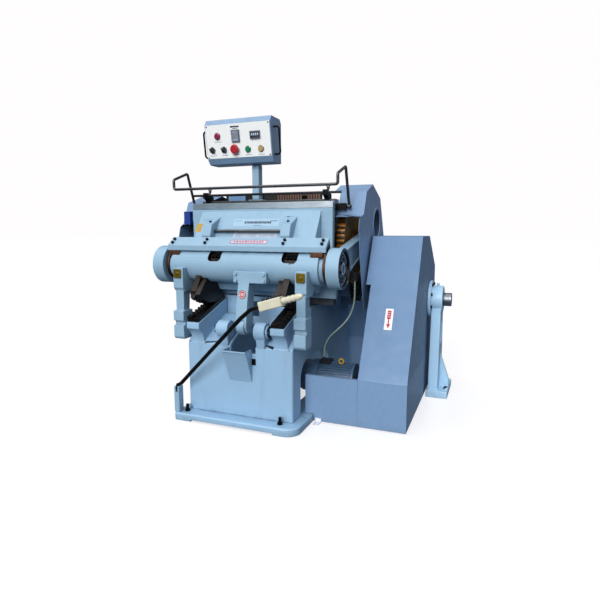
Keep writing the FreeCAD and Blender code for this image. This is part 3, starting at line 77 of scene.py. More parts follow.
class Finish:
    """A procedural material: colour, roughness and bump vary in the object's own space."""

    def __init__(self, name, **shader):
        self.material = bpy.data.materials.new(name)
        self.material.use_nodes = True
        self.tree = self.material.node_tree
        self.shader = self.tree.nodes["Principled BSDF"]
        for key, value in shader.items():
            self.shader.inputs[key.replace("_", " ").title()].default_value = value
        self.coord = self.node("ShaderNodeTexCoord").outputs["Object"]

    def node(self, kind, inputs=(), **settings):
        made = self.tree.nodes.new(kind)
        for key, value in settings.items():
            setattr(made, key, value)
        for key, value in dict(inputs).items():
            if isinstance(value, bpy.types.NodeSocket):
                self.tree.links.new(value, made.inputs[key])
            else:
                made.inputs[key].default_value = value
        return made

    def space(self, stretch=(1, 1, 1), turn=(0, 0, 0), shift=(0, 0, 0)):
        made = self.node("ShaderNodeMapping", {"Vector": self.coord, "Scale": stretch,
                                               "Rotation": turn, "Location": shift})
        return made.outputs["Vector"]

    def noise(self, scale, detail=2.0, rough=0.5, stretch=None, turn=(0, 0, 0), shift=(0, 0, 0)):
        where = self.space(stretch or (1, 1, 1), turn, shift)
        made = self.node("ShaderNodeTexNoise", {"Vector": where, "Scale": scale,
                                                "Detail": detail, "Roughness": rough})
        return made.outputs["Fac"]

    def math(self, operation, a, b=0.5, clamp=False):
        made = self.node("ShaderNodeMath", {0: a, 1: b}, operation=operation, use_clamp=clamp)
        return made.outputs["Value"]

    def ranged(self, value, low, high, out_low=0.0, out_high=1.0):
        made = self.node("ShaderNodeMapRange", {"Value": value, "From Min": low, "From Max": high,
                                                "To Min": out_low, "To Max": out_high})
        return made.outputs["Result"]

    def ramp(self, value, *stops):
        made = self.node("ShaderNodeValToRGB", {"Fac": value})
        marks_on_ramp = made.color_ramp.elements
        for mark, (place, colour) in zip(marks_on_ramp, (stops[0], stops[-1])):
            mark.position, mark.color = place, (*colour, 1)
        return made.outputs["Color"]

    def blend(self, fac, a, b, mode="MIX"):
        made = self.node("ShaderNodeMix", data_type="RGBA", blend_type=mode)
        for socket, value in ((made.inputs["Factor"], fac), (made.inputs["A"], a),
                              (made.inputs["B"], b)):
            colour_socket = [s for s in made.inputs if s.name == socket.name and s.enabled]
            target = colour_socket[0] if colour_socket else socket
            if isinstance(value, bpy.types.NodeSocket):
                self.tree.links.new(value, target)
            elif isinstance(value, (int, float)):
                target.default_value = value
            else:
                target.default_value = (*value[:3], 1)
        return [s for s in made.outputs if s.enabled][0]

    def occlusion_shade(self, distance=0.06, samples=6):
        """Ambient occlusion for painted shade: 1 in corners and narrow gaps where shade falls, 0 on
        open faces.
        """
        made = self.node("ShaderNodeAmbientOcclusion", {"Distance": distance}, samples=samples)
        return self.math("SUBTRACT", 1.0, made.outputs["AO"])

    def edge(self, radius=0.003, samples=4):
        """1 near a sharp edge, 0 on flat faces."""
        soft = self.node("ShaderNodeBevel", {"Radius": radius}, samples=samples)
        flat = self.node("ShaderNodeNewGeometry")
        dot = self.node("ShaderNodeVectorMath", {0: soft.outputs["Normal"],
                                                 1: flat.outputs["Normal"]},
                        operation="DOT_PRODUCT")
        return self.ranged(dot.outputs["Value"], 0.97, 0.80)

    def axis(self, name):
        made = self.node("ShaderNodeSeparateXYZ", {"Vector": self.coord})
        return made.outputs[name]

    def colour(self, value):
        self.tree.links.new(value, self.shader.inputs["Base Color"])
        return self

    def rough(self, value):
        self.tree.links.new(value, self.shader.inputs["Roughness"])
        return self

    def bumps(self, *layers):
        """Each layer is (height socket, strength, distance)."""
        normal = None
        for height, strength, distance in layers:
            inputs = {"Height": height, "Strength": strength, "Distance": distance}
            if normal is not None:
                inputs["Normal"] = normal
            normal = self.node("ShaderNodeBump", inputs).outputs["Normal"]
        self.tree.links.new(normal, self.shader.inputs["Normal"])
        return self


def painted(name, tone, roughness=0.46, vary=0.05, shade_and_grime=0.55, shade_dirt_tone="2B3540", chips=0.5,
            peel=0.06, wave=0.08, coat=0.10, lit_foot=None):
    """Enamel on iron or sheet: tone drifts, dirt and painted shade gather in corners, edges get a
    painted highlight and are a little worn.
    """
    f = Finish(name, coat_weight=coat, coat_roughness=0.2)
    drift = f.noise(2.3, 3.0, 0.55)
    base = f.ramp(drift, (0.3, shade(tone, 1 - vary)), (0.7, shade(tone, 1 + vary)))
    # Below the given height band the tone turns lighter: a painted bounce light from the floor.
    if lit_foot:
        low, high, lit_foot_tone = lit_foot
        base = f.blend(f.ranged(f.axis("Z"), low, high), lit_foot_tone, base)
    mottle = f.noise(34.0, 4.0, 0.6)
    base = f.blend(f.ranged(mottle, 0.45, 0.75, 0.0, 0.16), base, shade(tone, 0.82))
    streak = f.noise(9.0, 4.0, 0.6, stretch=(1.0, 1.0, 0.12))
    runs = f.ranged(streak, 0.58, 0.76, 0.0, 0.14)
    base = f.blend(runs, base, rgb("6C7F8C"))
    # Corners and gaps darken by ambient occlusion broken up by noise: painted shade mixed with dirt.
    shade_and_smut = f.math("MULTIPLY", f.occlusion_shade(), f.ranged(f.noise(13.0, 4.0, 0.62), 0.3, 0.66))
    shade_and_smut = f.math("MULTIPLY", shade_and_smut, shade_and_grime, clamp=True)
    base = f.blend(shade_and_smut, base, rgb(shade_dirt_tone))
    rim = f.edge()
    worn = f.math("MULTIPLY", rim, f.ranged(f.noise(55.0, 4.0, 0.65), 0.52, 0.66))
    worn = f.math("MULTIPLY", worn, chips, clamp=True)
    # All edges are painted a little lighter: a painted edge highlight.
    base = f.blend(f.math("MULTIPLY", rim, 0.25), base, shade(tone, 1.22))
    base = f.blend(worn, base, rgb("6E757A"))
    f.colour(base)
    gloss = f.ranged(f.noise(16.0, 3.0), 0.35, 0.7, roughness - 0.07, roughness + 0.12)
    f.rough(f.math("ADD", gloss, f.math("MULTIPLY", shade_and_smut, 0.3), clamp=True))
    return f.bumps((f.noise(7.0, 2.0), wave, 0.004), (f.noise(260.0, 2.0), peel, 0.0006))


def metal(name, tone, roughness=0.3, grain=(0.04, 1.0, 1.0), grain_scale=260.0, stain="3A3026",
          stained=0.4, dark=0.55, painted_reflection=None):
    """Machined or rolled steel: tool marks along one axis, oil film and stains, painted shade in
    corners and, where given, a painted reflection along X.
    """
    f = Finish(name, metallic=1.0)
    lines = f.noise(grain_scale, 3.0, 0.6, stretch=grain)
    base = f.ramp(lines, (0.3, shade(tone, dark)), (0.7, tone))
    # Where given, the colour brightens along X: a painted reflection.
    if painted_reflection:
        low, high, reflection_tone = painted_reflection
        base = f.blend(f.ranged(f.axis("X"), low, high), base, reflection_tone)
    film = f.ranged(f.noise(6.5, 4.0, 0.6), 0.45, 0.72)
    base = f.blend(f.math("MULTIPLY", film, stained), base, rgb(stain))
    # Painted shade: corners and gaps darken by ambient occlusion.
    shade_and_smut = f.math("MULTIPLY", f.occlusion_shade(0.03), 0.7, clamp=True)
    base = f.blend(shade_and_smut, base, shade(rgb(stain), 0.5))
    f.colour(base)
    f.rough(f.ranged(lines, 0.3, 0.7, roughness + 0.14, max(0.08, roughness - 0.06)))
    return f.bumps((lines, 0.08, 0.0006), (f.noise(30.0, 3.0), 0.05, 0.002))


def moulded(name, tone, roughness=0.3, coat=0.3, grain=0.05, speck=0.06):
    """Moulded plastic or rubber: near-even colour, painted shade in corners, fine grain, finger marks
    in the gloss.
    """
    f = Finish(name, coat_weight=coat, coat_roughness=0.12)
    base = f.ramp(f.noise(22.0, 3.0), (0.3, shade(tone, 1 - speck)), (0.7, shade(tone, 1 + speck)))
    # Painted shade: corners and gaps darken by ambient occlusion.
    shade_and_smut = f.math("MULTIPLY", f.occlusion_shade(0.012), 0.55, clamp=True)
    f.colour(f.blend(shade_and_smut, base, shade(tone, 0.35)))
    f.rough(f.ranged(f.noise(60.0, 3.0), 0.35, 0.7, roughness - 0.05, roughness + 0.12))
    return f.bumps((f.noise(700.0, 2.0), grain, 0.0004))


ENAMEL = rgb("91B3CB")
enamel = painted("enamel_light_blue", ENAMEL)
enamel_base = painted("enamel_base", rgb("97BBD9"), shade_and_grime=0.7, vary=0.06)
# A darker copy of the enamel: painted shade for the bearings inside the frame.
enamel_shaded_inner = painted("enamel_shaded_inner", rgb("7FA3C0"), shade_and_grime=0.9, roughness=0.45)
# The sheet's lowest band is painted lighter: a painted bounce light from the floor.
sheet = painted("sheet_grey_blue", rgb("6889AF"), roughness=0.56, vary=0.04, shade_and_grime=0.45,
                wave=0.05, peel=0.04, coat=0.08, lit_foot=(0.325, 0.345, rgb("7A9ABF")))
cover = painted("cover_slate", rgb("7896BB"), roughness=0.42, vary=0.05, shade_and_grime=0.6)
motor_paint = painted("motor_paint", rgb("3F5D7C"), roughness=0.42, shade_and_grime=0.8)
# A lighter copy of the light-blue enamel: painted light for the outboard pedestal and bearing.
enamel_painted_lit = painted("enamel_painted_lit", rgb("B2DAF8"), shade_and_grime=0.4)
box_paint = painted("box_paint", rgb("7F9EBE"), roughness=0.36, shade_and_grime=0.3, chips=0.3)
post_paint = painted("post_paint", rgb("93B4CC"), roughness=0.4, shade_and_grime=0.4)
wheel_paint = painted("wheel_paint", rgb("5F7C99"), roughness=0.45, shade_and_grime=0.8)

# The ground strip is painted brighter towards +X: a painted reflection.
ground = metal("ground_steel", rgb("B2C6D4"), 0.36, stained=0.2, stain="4A5560", dark=0.86,
               painted_reflection=(-0.3, 0.5, rgb("DAE6EE")))
shaft_steel = metal("shaft_steel", rgb("9AA3AA"), 0.42, grain=(1.0, 0.08, 0.08), stained=0.2)
rod_steel = metal("rod_steel", rgb("8E9294"), 0.26, grain=(0.05, 1, 1), stained=0.3, dark=0.6)
dark_rod = metal("dark_rod", rgb("45464A"), 0.3, grain=(0.05, 1, 1), stained=0.4, dark=0.6)
plate_steel = metal("plate_steel", rgb("8C8F90"), 0.34, grain=(1, 1, 0.05), stained=0.35)
oily = metal("oily_steel", rgb("4A4644"), 0.36, stain="241A12", stained=0.6)
cast_iron = metal("cast_iron", rgb("565452"), 0.5, grain=(1, 1, 1), grain_scale=70.0,
                  stain="35261A", stained=0.5)
rusty = metal("brown_bronze", rgb("7A5743"), 0.46, grain=(1, 1, 1), grain_scale=50.0,
              stain="3C2214", stained=0.55)
brass = metal("worn_brass", rgb("B39A45"), 0.34, grain=(1, 1, 1), grain_scale=90.0,
              stain="4A4018", stained=0.55)
black_oxide = metal("black_oxide", rgb("2C2D30"), 0.38, grain=(1, 1, 1), grain_scale=120.0,
                    stain="120F0D", stained=0.4)
lever_steel = metal("lever_steel", rgb("3B3836"), 0.3, grain=(1, 1, 0.1), stain="1E1610",
                    stained=0.5)
gate_steel = metal("gate_steel", rgb("75787A"), 0.25, grain=(0.06, 1, 1), stain="2B2420",
                   stained=0.45)

cream = moulded("cream_plastic", rgb("DAD6BE"), 0.42, coat=0.15, speck=0.05)
white_panel = moulded("panel_white", rgb("FDFFFD"), 0.36, coat=0.2, speck=0.01, grain=0.02)
switch_blue = moulded("switch_blue", rgb("1E3E92"), 0.32, speck=0.12)
rubber = moulded("rubber", rgb("1D1D1F"), 0.7, coat=0.0, grain=0.2, speck=0.25)
black_plastic = moulded("black_plastic", rgb("1A1B1E"), 0.34, speck=0.2)
red_gloss = moulded("button_red", rgb("B81F28"), 0.35, coat=0.3)
dark_red = moulded("lamp_red", rgb("8E1F4A"), 0.12, coat=1.0)
green_gloss = moulded("button_green", rgb("12885A"), 0.22, coat=0.6)
tan_gloss = moulded("button_tan", rgb("C6A56C"), 0.25, coat=0.5)
cable_skin = moulded("cable_sheath", rgb("93A79C"), 0.46, coat=0.05, speck=0.08)
slat_brown = painted("slat_brown", rgb("6B4A3A"), roughness=0.6, vary=0.2, shade_and_grime=0.7)
grey_case = moulded("display_case", rgb("5C6472"), 0.3, coat=0.3, speck=0.1)
grey_screen = moulded("display_glass", rgb("8790A0"), 0.14, coat=1.0, speck=0.15)
dark_screen = moulded("display_dark", rgb("3A3A44"), 0.14, coat=1.0, speck=0.3)
ink = moulded("print_ink", rgb("39445E"), 0.5, coat=0.1, speck=0.2)
grey_ink = moulded("print_grey", rgb("8FA0AE"), 0.5, coat=0.1, speck=0.2)
red_ink = moulded("print_red", rgb("C04C62"), 0.45, coat=0.2, speck=0.15)
strip_tint = moulded("strip_tint", rgb("9FC0D8"), 0.4, coat=0.15, speck=0.04)
enamel_pale = moulded("pale_print", rgb("B7CDE2"), 0.34, coat=0.3, speck=0.04)
label_white = moulded("label_white", rgb("EDEFF4"), 0.3, coat=0.4, speck=0.04)
label_plate = moulded("label_plate", rgb("B9C6DA"), 0.3, coat=0.4, speck=0.10)
label_yellow = moulded("label_yellow", rgb("BE960C"), 0.55, coat=0.05, speck=0.12)
signal_red = moulded("signal_red", rgb("B8162B"), 0.5, coat=0.05, speck=0.08)
silver_disc = metal("silver_disc", rgb("DDE4EA"), 0.22, grain=(1, 1, 1), stained=0.05, dark=0.85)


CRANK_AXIS = Vector((0.0, 0.8, 1.25))


def gear_paint():
    """Yellow gear paint on the web, black grease towards the teeth and the bore, painted shade in
    crevices.
    """
    f = Finish("gear_yellow", coat_weight=0.3, coat_roughness=0.25)
    tone = rgb("D08D12")
    base = f.ramp(f.noise(6.0, 4.0, 0.6), (0.3, shade(tone, 0.72)), (0.7, shade(tone, 1.1)))
    offset = f.node("ShaderNodeVectorMath", {0: f.coord, 1: CRANK_AXIS}, operation="SUBTRACT")
    flat = f.node("ShaderNodeVectorMath", {0: offset.outputs["Vector"], 1: (0.0, 1.0, 1.0)},
                  operation="MULTIPLY")
    reach = f.node("ShaderNodeVectorMath", {0: flat.outputs["Vector"]}, operation="LENGTH")
    rim = f.ranged(reach.outputs["Value"], 0.312, 0.328)
    core = f.ranged(reach.outputs["Value"], 0.13, 0.09)
    blotch = f.ranged(f.noise(18.0, 5.0, 0.65), 0.5, 0.68, 0.0, 0.8)
    grease_and_shade = f.math("MAXIMUM", f.math("MAXIMUM", rim, f.math("MULTIPLY", core, 0.7)), blotch)
    # Crevices darken by ambient occlusion as well: painted shade added to the grease.
    grease_and_shade = f.math("MAXIMUM", grease_and_shade, f.math("MULTIPLY", f.occlusion_shade(0.05), 0.8), clamp=True)
    f.colour(f.blend(grease_and_shade, base, rgb("26190D")))
    f.rough(f.ranged(grease_and_shade, 0.0, 1.0, 0.42, 0.24))
    return f.bumps((f.noise(40.0, 3.0), 0.12, 0.002))


def plywood():
    """Die board: edge grain lines and scorched slots."""
    f = Finish("die_board")
    grain = f.noise(30.0, 5.0, 0.65, stretch=(0.12, 1.0, 1.0))
    base = f.ramp(grain, (0.3, rgb("7A5233")), (0.7, rgb("B58A5B")))
    plies = f.node("ShaderNodeTexWave", {"Vector": f.space((1, 1, 1)), "Scale": 60.0,
                                         "Distortion": 1.5}, bands_direction="Z")
    base = f.blend(f.math("MULTIPLY", plies.outputs["Fac"], 0.2), base, rgb("4A2E1A"))
    f.colour(base)
    f.rough(f.ranged(grain, 0.3, 0.7, 0.5, 0.75))
    return f.bumps((grain, 0.2, 0.001))


gear_yellow = gear_paint()
die_board = plywood()


# ---------------------------------------------------------------- pieces from CAD shapes

WELD = 2e-5  # corners nearer than this are one corner
FLAT = math.radians(0.4)  # faces that bend less than this are one face
EDGE_ROOM = 0.4  # a rounding takes at most this share of the narrower face beside it
LEAST_ROUNDING = 0.12  # below this share of the full width an edge stays sharp


def part_skins(bm):
    """Solids that share an edge get a copy of it each, so that every skin is closed."""
    if all(len(e.link_faces) <= 2 for e in bm.edges):
        return
    bm.faces.index_update()
    seen, skins = set(), []
    for start in bm.faces:
        if start.index in seen:
            continue
        seen.add(start.index)
        skin, queue = [], [start]
        while queue:
            face = queue.pop()
            skin.append(face)
            for e in face.edges:
                if len(e.link_faces) != 2:
                    continue
                for other in e.link_faces:
                    if other.index not in seen:
                        seen.add(other.index)
                        queue.append(other)
        skins.append(skin)
    for skin in skins[1:]:
        bmesh.ops.split(bm, geom=skin)


def clean_copy(node):
    """A CAD node's mesh as closed skins of flat faces, in a bmesh."""
    bm = bmesh.new()
    bm.from_mesh(nodes[node].data)
    bmesh.ops.remove_doubles(bm, verts=bm.verts, dist=WELD)
    part_skins(bm)
    return bm


def shells(bm):
    """The separate closed skins in a bmesh, each a list of vertices."""
    seen, found = set(), []
    for start in bm.verts:
        if start.index in seen:
            continue
        seen.add(start.index)
        group, queue = [], [start]
        while queue:
            v = queue.pop()
            group.append(v)
            for e in v.link_edges:
                other = e.other_vert(v)
                if other.index not in seen:
                    seen.add(other.index)
                    queue.append(other)
        found.append(group)
    return found


def extent(verts):
    lo = Vector([min(v.co[i] for v in verts) for i in range(3)])
    hi = Vector([max(v.co[i] for v in verts) for i in range(3)])
    return lo, hi


def room_beside(edge):
    """How far the narrower of an edge's two faces reaches away from it."""
    origin = edge.verts[0].co
    along = (edge.verts[1].co - origin).normalized()
    reaches = []
    for face in edge.link_faces:
        reach = 0.0
        for v in face.verts:
            arm = v.co - origin
            reach = max(reach, (arm - along * arm.dot(along)).length)
        reaches.append(reach)
    return min(reaches)


def carve(node, finish, name=None, width=0.0, pick=None, segments=2, crease=32.0):
    """A softened copy of a CAD node, or of those of its solids that pick(lo, hi) chooses."""
    bm = clean_copy(node)
    bm.verts.index_update()
    if pick:
        drop = [v for group in shells(bm) if not pick(*extent(group)) for v in group]
        bmesh.ops.delete(bm, geom=drop, context="VERTS")
    bmesh.ops.dissolve_limit(bm, angle_limit=FLAT, verts=bm.verts, edges=bm.edges)
    weight = bm.edges.layers.float.new("bevel_weight_edge")
    for e in bm.edges:
        e.smooth = len(e.link_faces) == 2
        if not e.smooth or e.calc_face_angle(0.0) < math.radians(crease):
            continue
        share = min(1.0, EDGE_ROOM * room_beside(e) / width) if width else 0.0
        if share > LEAST_ROUNDING:
            e[weight] = share
        else:
            e.smooth = False
    for face in bm.faces:
        face.smooth = True
    mesh = bpy.data.meshes.new(name or node + "_cast")
    bm.to_mesh(mesh)
    bm.free()
    piece = bpy.data.objects.new(name or node + "_cast", mesh)
    scene.collection.objects.link(piece)
    mesh.materials.append(finish.material)
    if width:
        round_off = piece.modifiers.new("edges", "BEVEL")
        round_off.limit_method = "WEIGHT"
        round_off.width = width
        round_off.segments = segments
        round_off.use_clamp_overlap = False
    even = piece.modifiers.new("normals", "WEIGHTED_NORMAL")
    even.keep_sharp = True
    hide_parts(node)
    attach(piece, BODY_OF[node])
    return piece


def inlay(piece, finish, chosen):
    """A second finish on the faces of a piece whose centres are chosen."""
    piece.data.materials.append(finish.material)
    for face in piece.data.polygons:
        if chosen(face.center):
            face.material_index = len(piece.data.materials) - 1


def coat(node, finish):
    """A CAD node whose shape is right keeps it and gets a finish."""
    data = nodes[node].data
    data.materials.clear()
    data.materials.append(finish.material)


def size(lo, hi):
    return hi - lo


# ---------------------------------------------------------------- cable

CABLE_ROUTE = ((0.700, 0.440, 0.985), (0.700, 0.440, 0.912), (0.696, 0.447, 0.832),
               (0.674, 0.455, 0.752), (0.630, 0.460, 0.681), (0.572, 0.463, 0.624),
               (0.515, 0.468, 0.572), (0.474, 0.478, 0.510), (0.459, 0.487, 0.445),
               (0.460, 0.490, 0.402))
CABLE_DIAMETER = 0.012
sheath = bpy.data.curves.new("motor_cable", "CURVE")
sheath.dimensions = "3D"
sheath.bevel_depth = CABLE_DIAMETER / 2
sheath.bevel_resolution = 5
sheath.resolution_u = 12
sheath.use_fill_caps = True
run = sheath.splines.new("NURBS")
run.points.add(len(CABLE_ROUTE) - 1)
for point, place in zip(run.points, CABLE_ROUTE):
    point.co = (*place, 1.0)
run.order_u = 3
run.use_endpoint_u = True
cable = bpy.data.objects.new("motor_cable", sheath)
scene.collection.objects.link(cable)
sheath.materials.append(cable_skin.material)
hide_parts("power_cable")
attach(cable, "frame")

# ---------------------------------------------------------------- castings and covers

carve("base_plate", enamel_base, width=0.004)
carve("base_housing", enamel_base, width=0.006)
carve("side_frame_left", enamel_base, width=0.005)
carve("side_frame_right", enamel_base, width=0.005)
carve("frame_bearings", enamel_shaded_inner, width=0.003)
carve("bed_casting", enamel, width=0.005)
platen = carve("platen_casting", enamel, width=0.005)
AXIS_Y, AXIS_Z = 0.160, 1.090


def from_axis(point):
    return math.hypot(point.y - AXIS_Y, point.z - AXIS_Z)


def in_pocket(point):
    return (point.y < 0.13 and point.z > 1.12 and from_axis(point) < 0.113
            and (-0.262 < point.x < -0.156 or 0.300 < point.x < 0.416))


inlay(platen, oily, in_pocket)
carve("guide_arms", enamel, width=0.005)
carve("center_bracket", enamel, width=0.004)
carve("oil_catch_box", enamel_base, width=0.001,
      pick=lambda lo, hi: size(lo, hi).x > 0.06)
carve("oil_catch_box", black_oxide, name="oil_box_screw", width=0.001,
      pick=lambda lo, hi: size(lo, hi).x <= 0.06)
carve("throw_off_yoke", enamel, name="throw_off_beam", width=0.002,
      pick=lambda lo, hi: size(lo, hi).x > 1.0)
carve("throw_off_yoke", rusty, name="throw_off_arms", width=0.003,
      pick=lambda lo, hi: size(lo, hi).x < 1.0 and size(lo, hi).z > 0.1)
carve("throw_off_yoke", rusty, name="stop_pads", width=0.003,
      pick=lambda lo, hi: size(lo, hi).z <= 0.1 and 0.05 < size(lo, hi).x < 0.12)
carve("throw_off_yoke", black_oxide, name="throw_off_bolts", width=0.0012,
      pick=lambda lo, hi: size(lo, hi).x < 0.03 and size(lo, hi).z < 0.03)
bars = carve("draw_bars", enamel, width=0.004,
             pick=lambda lo, hi: size(lo, hi).y > 0.2)
inlay(bars, oily, lambda point: from_axis(point) < 0.116 and abs(point.x) > 0.66)
carve("draw_bars", shaft_steel, name="crank_pins", width=0.002,
      pick=lambda lo, hi: size(lo, hi).y <= 0.2)
carve("outboard_pedestal", enamel_painted_lit, width=0.005)
carve("outboard_bearing", enamel_painted_lit, width=0.003,
      pick=lambda lo, hi: size(lo, hi).x > 0.03)
carve("outboard_bearing", black_oxide, name="bearing_bolts", width=0.001,
      pick=lambda lo, hi: size(lo, hi).x <= 0.03)
carve("belt_guard", sheet, width=0.0025, crease=16,
      pick=lambda lo, hi: size(lo, hi).z > 0.05)
carve("belt_guard", label_white, name="guard_foot", width=0.002,
      pick=lambda lo, hi: size(lo, hi).z <= 0.05)
carve("gear_cover_right", cover, width=0.0025, crease=16)
carve("gear_cover_left", cover, width=0.0025, crease=16)
carve("control_box_shell", box_paint, width=0.002, crease=16,
      pick=lambda lo, hi: size(lo, hi).x > 0.2)
carve("control_box_shell", black_oxide, name="box_handles",
      pick=lambda lo, hi: size(lo, hi).x <= 0.2)
carve("control_post", post_paint, width=0.002)
carve("flywheel", wheel_paint, width=0.003)
carve("crank_gears", gear_yellow, width=0.002)
carve("motor_body", motor_paint, width=0.001,
      pick=lambda lo, hi: size(lo, hi).x > 0.05)
carve("motor_body", label_yellow, name="lifting_eye",
      pick=lambda lo, hi: size(lo, hi).x <= 0.05)
carve("motor_fan_cover", motor_paint, width=0.001)
carve("lever_bracket", enamel, width=0.002)
carve("gate_brackets", black_oxide, width=0.002)
carve("lever_handle", cream, width=0.0015)
carve("platen_top_strip", ground, width=0.001)
carve("bed_plate", plate_steel, width=0.001)
carve("cutting_plate", ground, width=0.0005)
carve("chase", oily, name="chase_frame", width=0.0015,
      pick=lambda lo, hi: size(lo, hi).x > 1.0)
carve("chase", die_board, name="die_board", width=0.001,
      pick=lambda lo, hi: size(lo, hi).x <= 1.0)
carve("toothed_ways", oily, width=0.0012)
carve("gear_sectors", oily, width=0.0015)
carve("brass_shoes", brass, width=0.0015)
carve("platen_hardware", rod_steel, name="grip_rod", width=0.001,
      pick=lambda lo, hi: size(lo, hi).x > 0.3)
carve("platen_hardware", black_oxide, name="lug_bolts", width=0.001,
      pick=lambda lo, hi: size(lo, hi).x <= 0.3 and lo.z > 1.1)
carve("platen_hardware", enamel, name="bracket_bolts", width=0.001,
      pick=lambda lo, hi: size(lo, hi).x <= 0.3 and lo.z <= 1.1)
carve("chase_clamps", black_oxide, name="clamp_blocks", width=0.0015,
      pick=lambda lo, hi: size(lo, hi).x < 0.3)
carve("chase_clamps", dark_rod, name="lock_rod", width=0.001,
      pick=lambda lo, hi: size(lo, hi).x > 1.0)
carve("chase_clamps", oily, name="rear_rail", width=0.002,
      pick=lambda lo, hi: 0.3 < size(lo, hi).x <= 1.0)
carve("limit_switch", switch_blue, name="switch_case", width=0.002,
      pick=lambda lo, hi: size(lo, hi).y > 0.03)
carve("limit_switch", black_oxide, name="switch_plate", width=0.001,
      pick=lambda lo, hi: size(lo, hi).y <= 0.03)
carve("drive_shaft", shaft_steel, width=0.0015)
carve("intermediate_shaft", cast_iron, width=0.001)
carve("crank_shaft", shaft_steel, width=0.002)
carve("motor_pulley", cast_iron, width=0.001)

for node, finish in (
        ("cross_shaft", shaft_steel), ("center_roller", enamel), ("v_belts", rubber),
        ("base_bolts", black_oxide), ("cable_glands", black_plastic),
        ("clutch_lever", lever_steel), ("safety_gate", gate_steel),
        ("clamp_screw_left", gate_steel), ("clamp_screw_right", gate_steel),
        ("emergency_stop", red_gloss), ("start_button", green_gloss),
        ("jog_button", tan_gloss), ("selector_left", black_plastic),
        ("selector_right", black_plastic), ("lever_button_1", black_plastic),
        ("lever_button_2", black_plastic), ("lever_button_3", black_plastic),
        ("lever_button_4", black_plastic)):
    coat(node, finish)

# ---------------------------------------------------------------- control panel

PANEL = "control_panel"
carve(PANEL, white_panel, name="panel_plate", width=0.0008,
      pick=lambda lo, hi: size(lo, hi).x > 0.3)
carve(PANEL, silver_disc, name="panel_bezels", width=0.0012,
      pick=lambda lo, hi: 0.03 < size(lo, hi).x < 0.06 and hi.z < 2.0 and size(lo, hi).y < 0.02)
carve(PANEL, black_oxide, name="panel_screws", width=0.0008,
      pick=lambda lo, hi: size(lo, hi).x < 0.02)
carve(PANEL, dark_red, name="pilot_lamp", width=0.003, segments=3,
      pick=lambda lo, hi: 0.03 < size(lo, hi).x < 0.06 and lo.z > 1.98)
carve(PANEL, grey_case, name="display_cases", width=0.0012,
      pick=lambda lo, hi: 0.06 < size(lo, hi).x < 0.3)


# ---------------------------------------------------------------- printed and small details


class Face:
    """A flat place on the machine: x to the right along it, y up along it, out of it."""

    def __init__(self, origin, normal, right=(1, 0, 0)):
        self.origin = Vector(origin)
        self.normal = Vector(normal).normalized()
        across = Vector(right)
        self.right = (across - self.normal * across.dot(self.normal)).normalized()
        self.up = self.normal.cross(self.right)

    def at(self, x, y, out=0.0):
        return self.origin + self.right * x + self.up * y + self.normal * out


def oblong(x, y, wide, high, radius=0.0, turn=0.0, steps=6):
    """Corner points of a rectangle with round corners, centred on x, y."""
    points = []
    for i, (sx, sy) in enumerate(((1, 1), (-1, 1), (-1, -1), (1, -1))):
        cx, cy = sx * (wide / 2 - radius), sy * (high / 2 - radius)
        if radius == 0.0:
            points.append((cx, cy))
            continue
        for k in range(steps + 1):
            a = math.pi / 2 * (i + k / steps)
            points.append((cx + radius * math.cos(a), cy + radius * math.sin(a)))
    c, s = math.cos(turn), math.sin(turn)
    return [(x + px * c - py * s, y + px * s + py * c) for px, py in points]


def disc(x, y, radius, steps=28):
    return [(x + radius * math.cos(math.tau * i / steps), y + radius * math.sin(math.tau * i / steps))
            for i in range(steps)]


def add_prism(bm, face, loop, out):
    low = [bm.verts.new(face.at(x, y, out[0])) for x, y in loop]
    high = [bm.verts.new(face.at(x, y, out[1])) for x, y in loop]
    bm.faces.new(high)
    bm.faces.new(low[::-1])
    for i in range(len(loop)):
        j = (i + 1) % len(loop)
        bm.faces.new((low[i], low[j], high[j], high[i]))


def add_band(bm, face, outer, inner, out):
    """A flat ring between two loops with the same number of points."""
    rings = [[bm.verts.new(face.at(x, y, h)) for x, y in loop]
             for loop, h in ((outer, out[0]), (outer, out[1]), (inner, out[1]), (inner, out[0]))]
    for a, b in zip(rings, rings[1:] + rings[:1]):
        for i in range(len(outer)):
            j = (i + 1) % len(outer)
            bm.faces.new((a[i], a[j], b[j], b[i]))


def finish_piece(name, bm, finish, body, smooth=False, bevel=0.0):
    bmesh.ops.recalc_face_normals(bm, faces=bm.faces)
    for f in bm.faces:
        f.smooth = smooth
    mesh = bpy.data.meshes.new(name)
    bm.to_mesh(mesh)
    bm.free()
    piece = bpy.data.objects.new(name, mesh)
    scene.collection.objects.link(piece)
    mesh.materials.append(finish.material)
    if bevel:
        soft = piece.modifiers.new("edges", "BEVEL")
        soft.width = bevel
        soft.segments = 2
        soft.limit_method = "ANGLE"
    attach(piece, body)
    return piece


def stamp(name, face, finish, body, loops, out=(0.0, 0.0007), bands=(), bevel=0.0):
    """Thin raised patches on a face: the loops are filled, the bands are rings."""
    bm = bmesh.new()
    for loop in loops:
        add_prism(bm, face, loop, out)
    for outer, inner in bands:
        add_band(bm, face, outer, inner, out)
    return finish_piece(name, bm, finish, body, bevel=bevel)


def dashes(x0, x1, y, high, step, gap, seed):
    """A row of short marks that stands for a line of print."""
    loops, x, k = [], x0, seed
    while x < x1:
        wide = step * (0.7 + 0.6 * ((k * 37) % 11) / 10)
        loops.append(oblong(min(x + wide / 2, x1), y, wide, high))
        x += wide + gap * (0.8 + 0.5 * ((k * 17) % 7) / 6)
        k += 1
    return loops


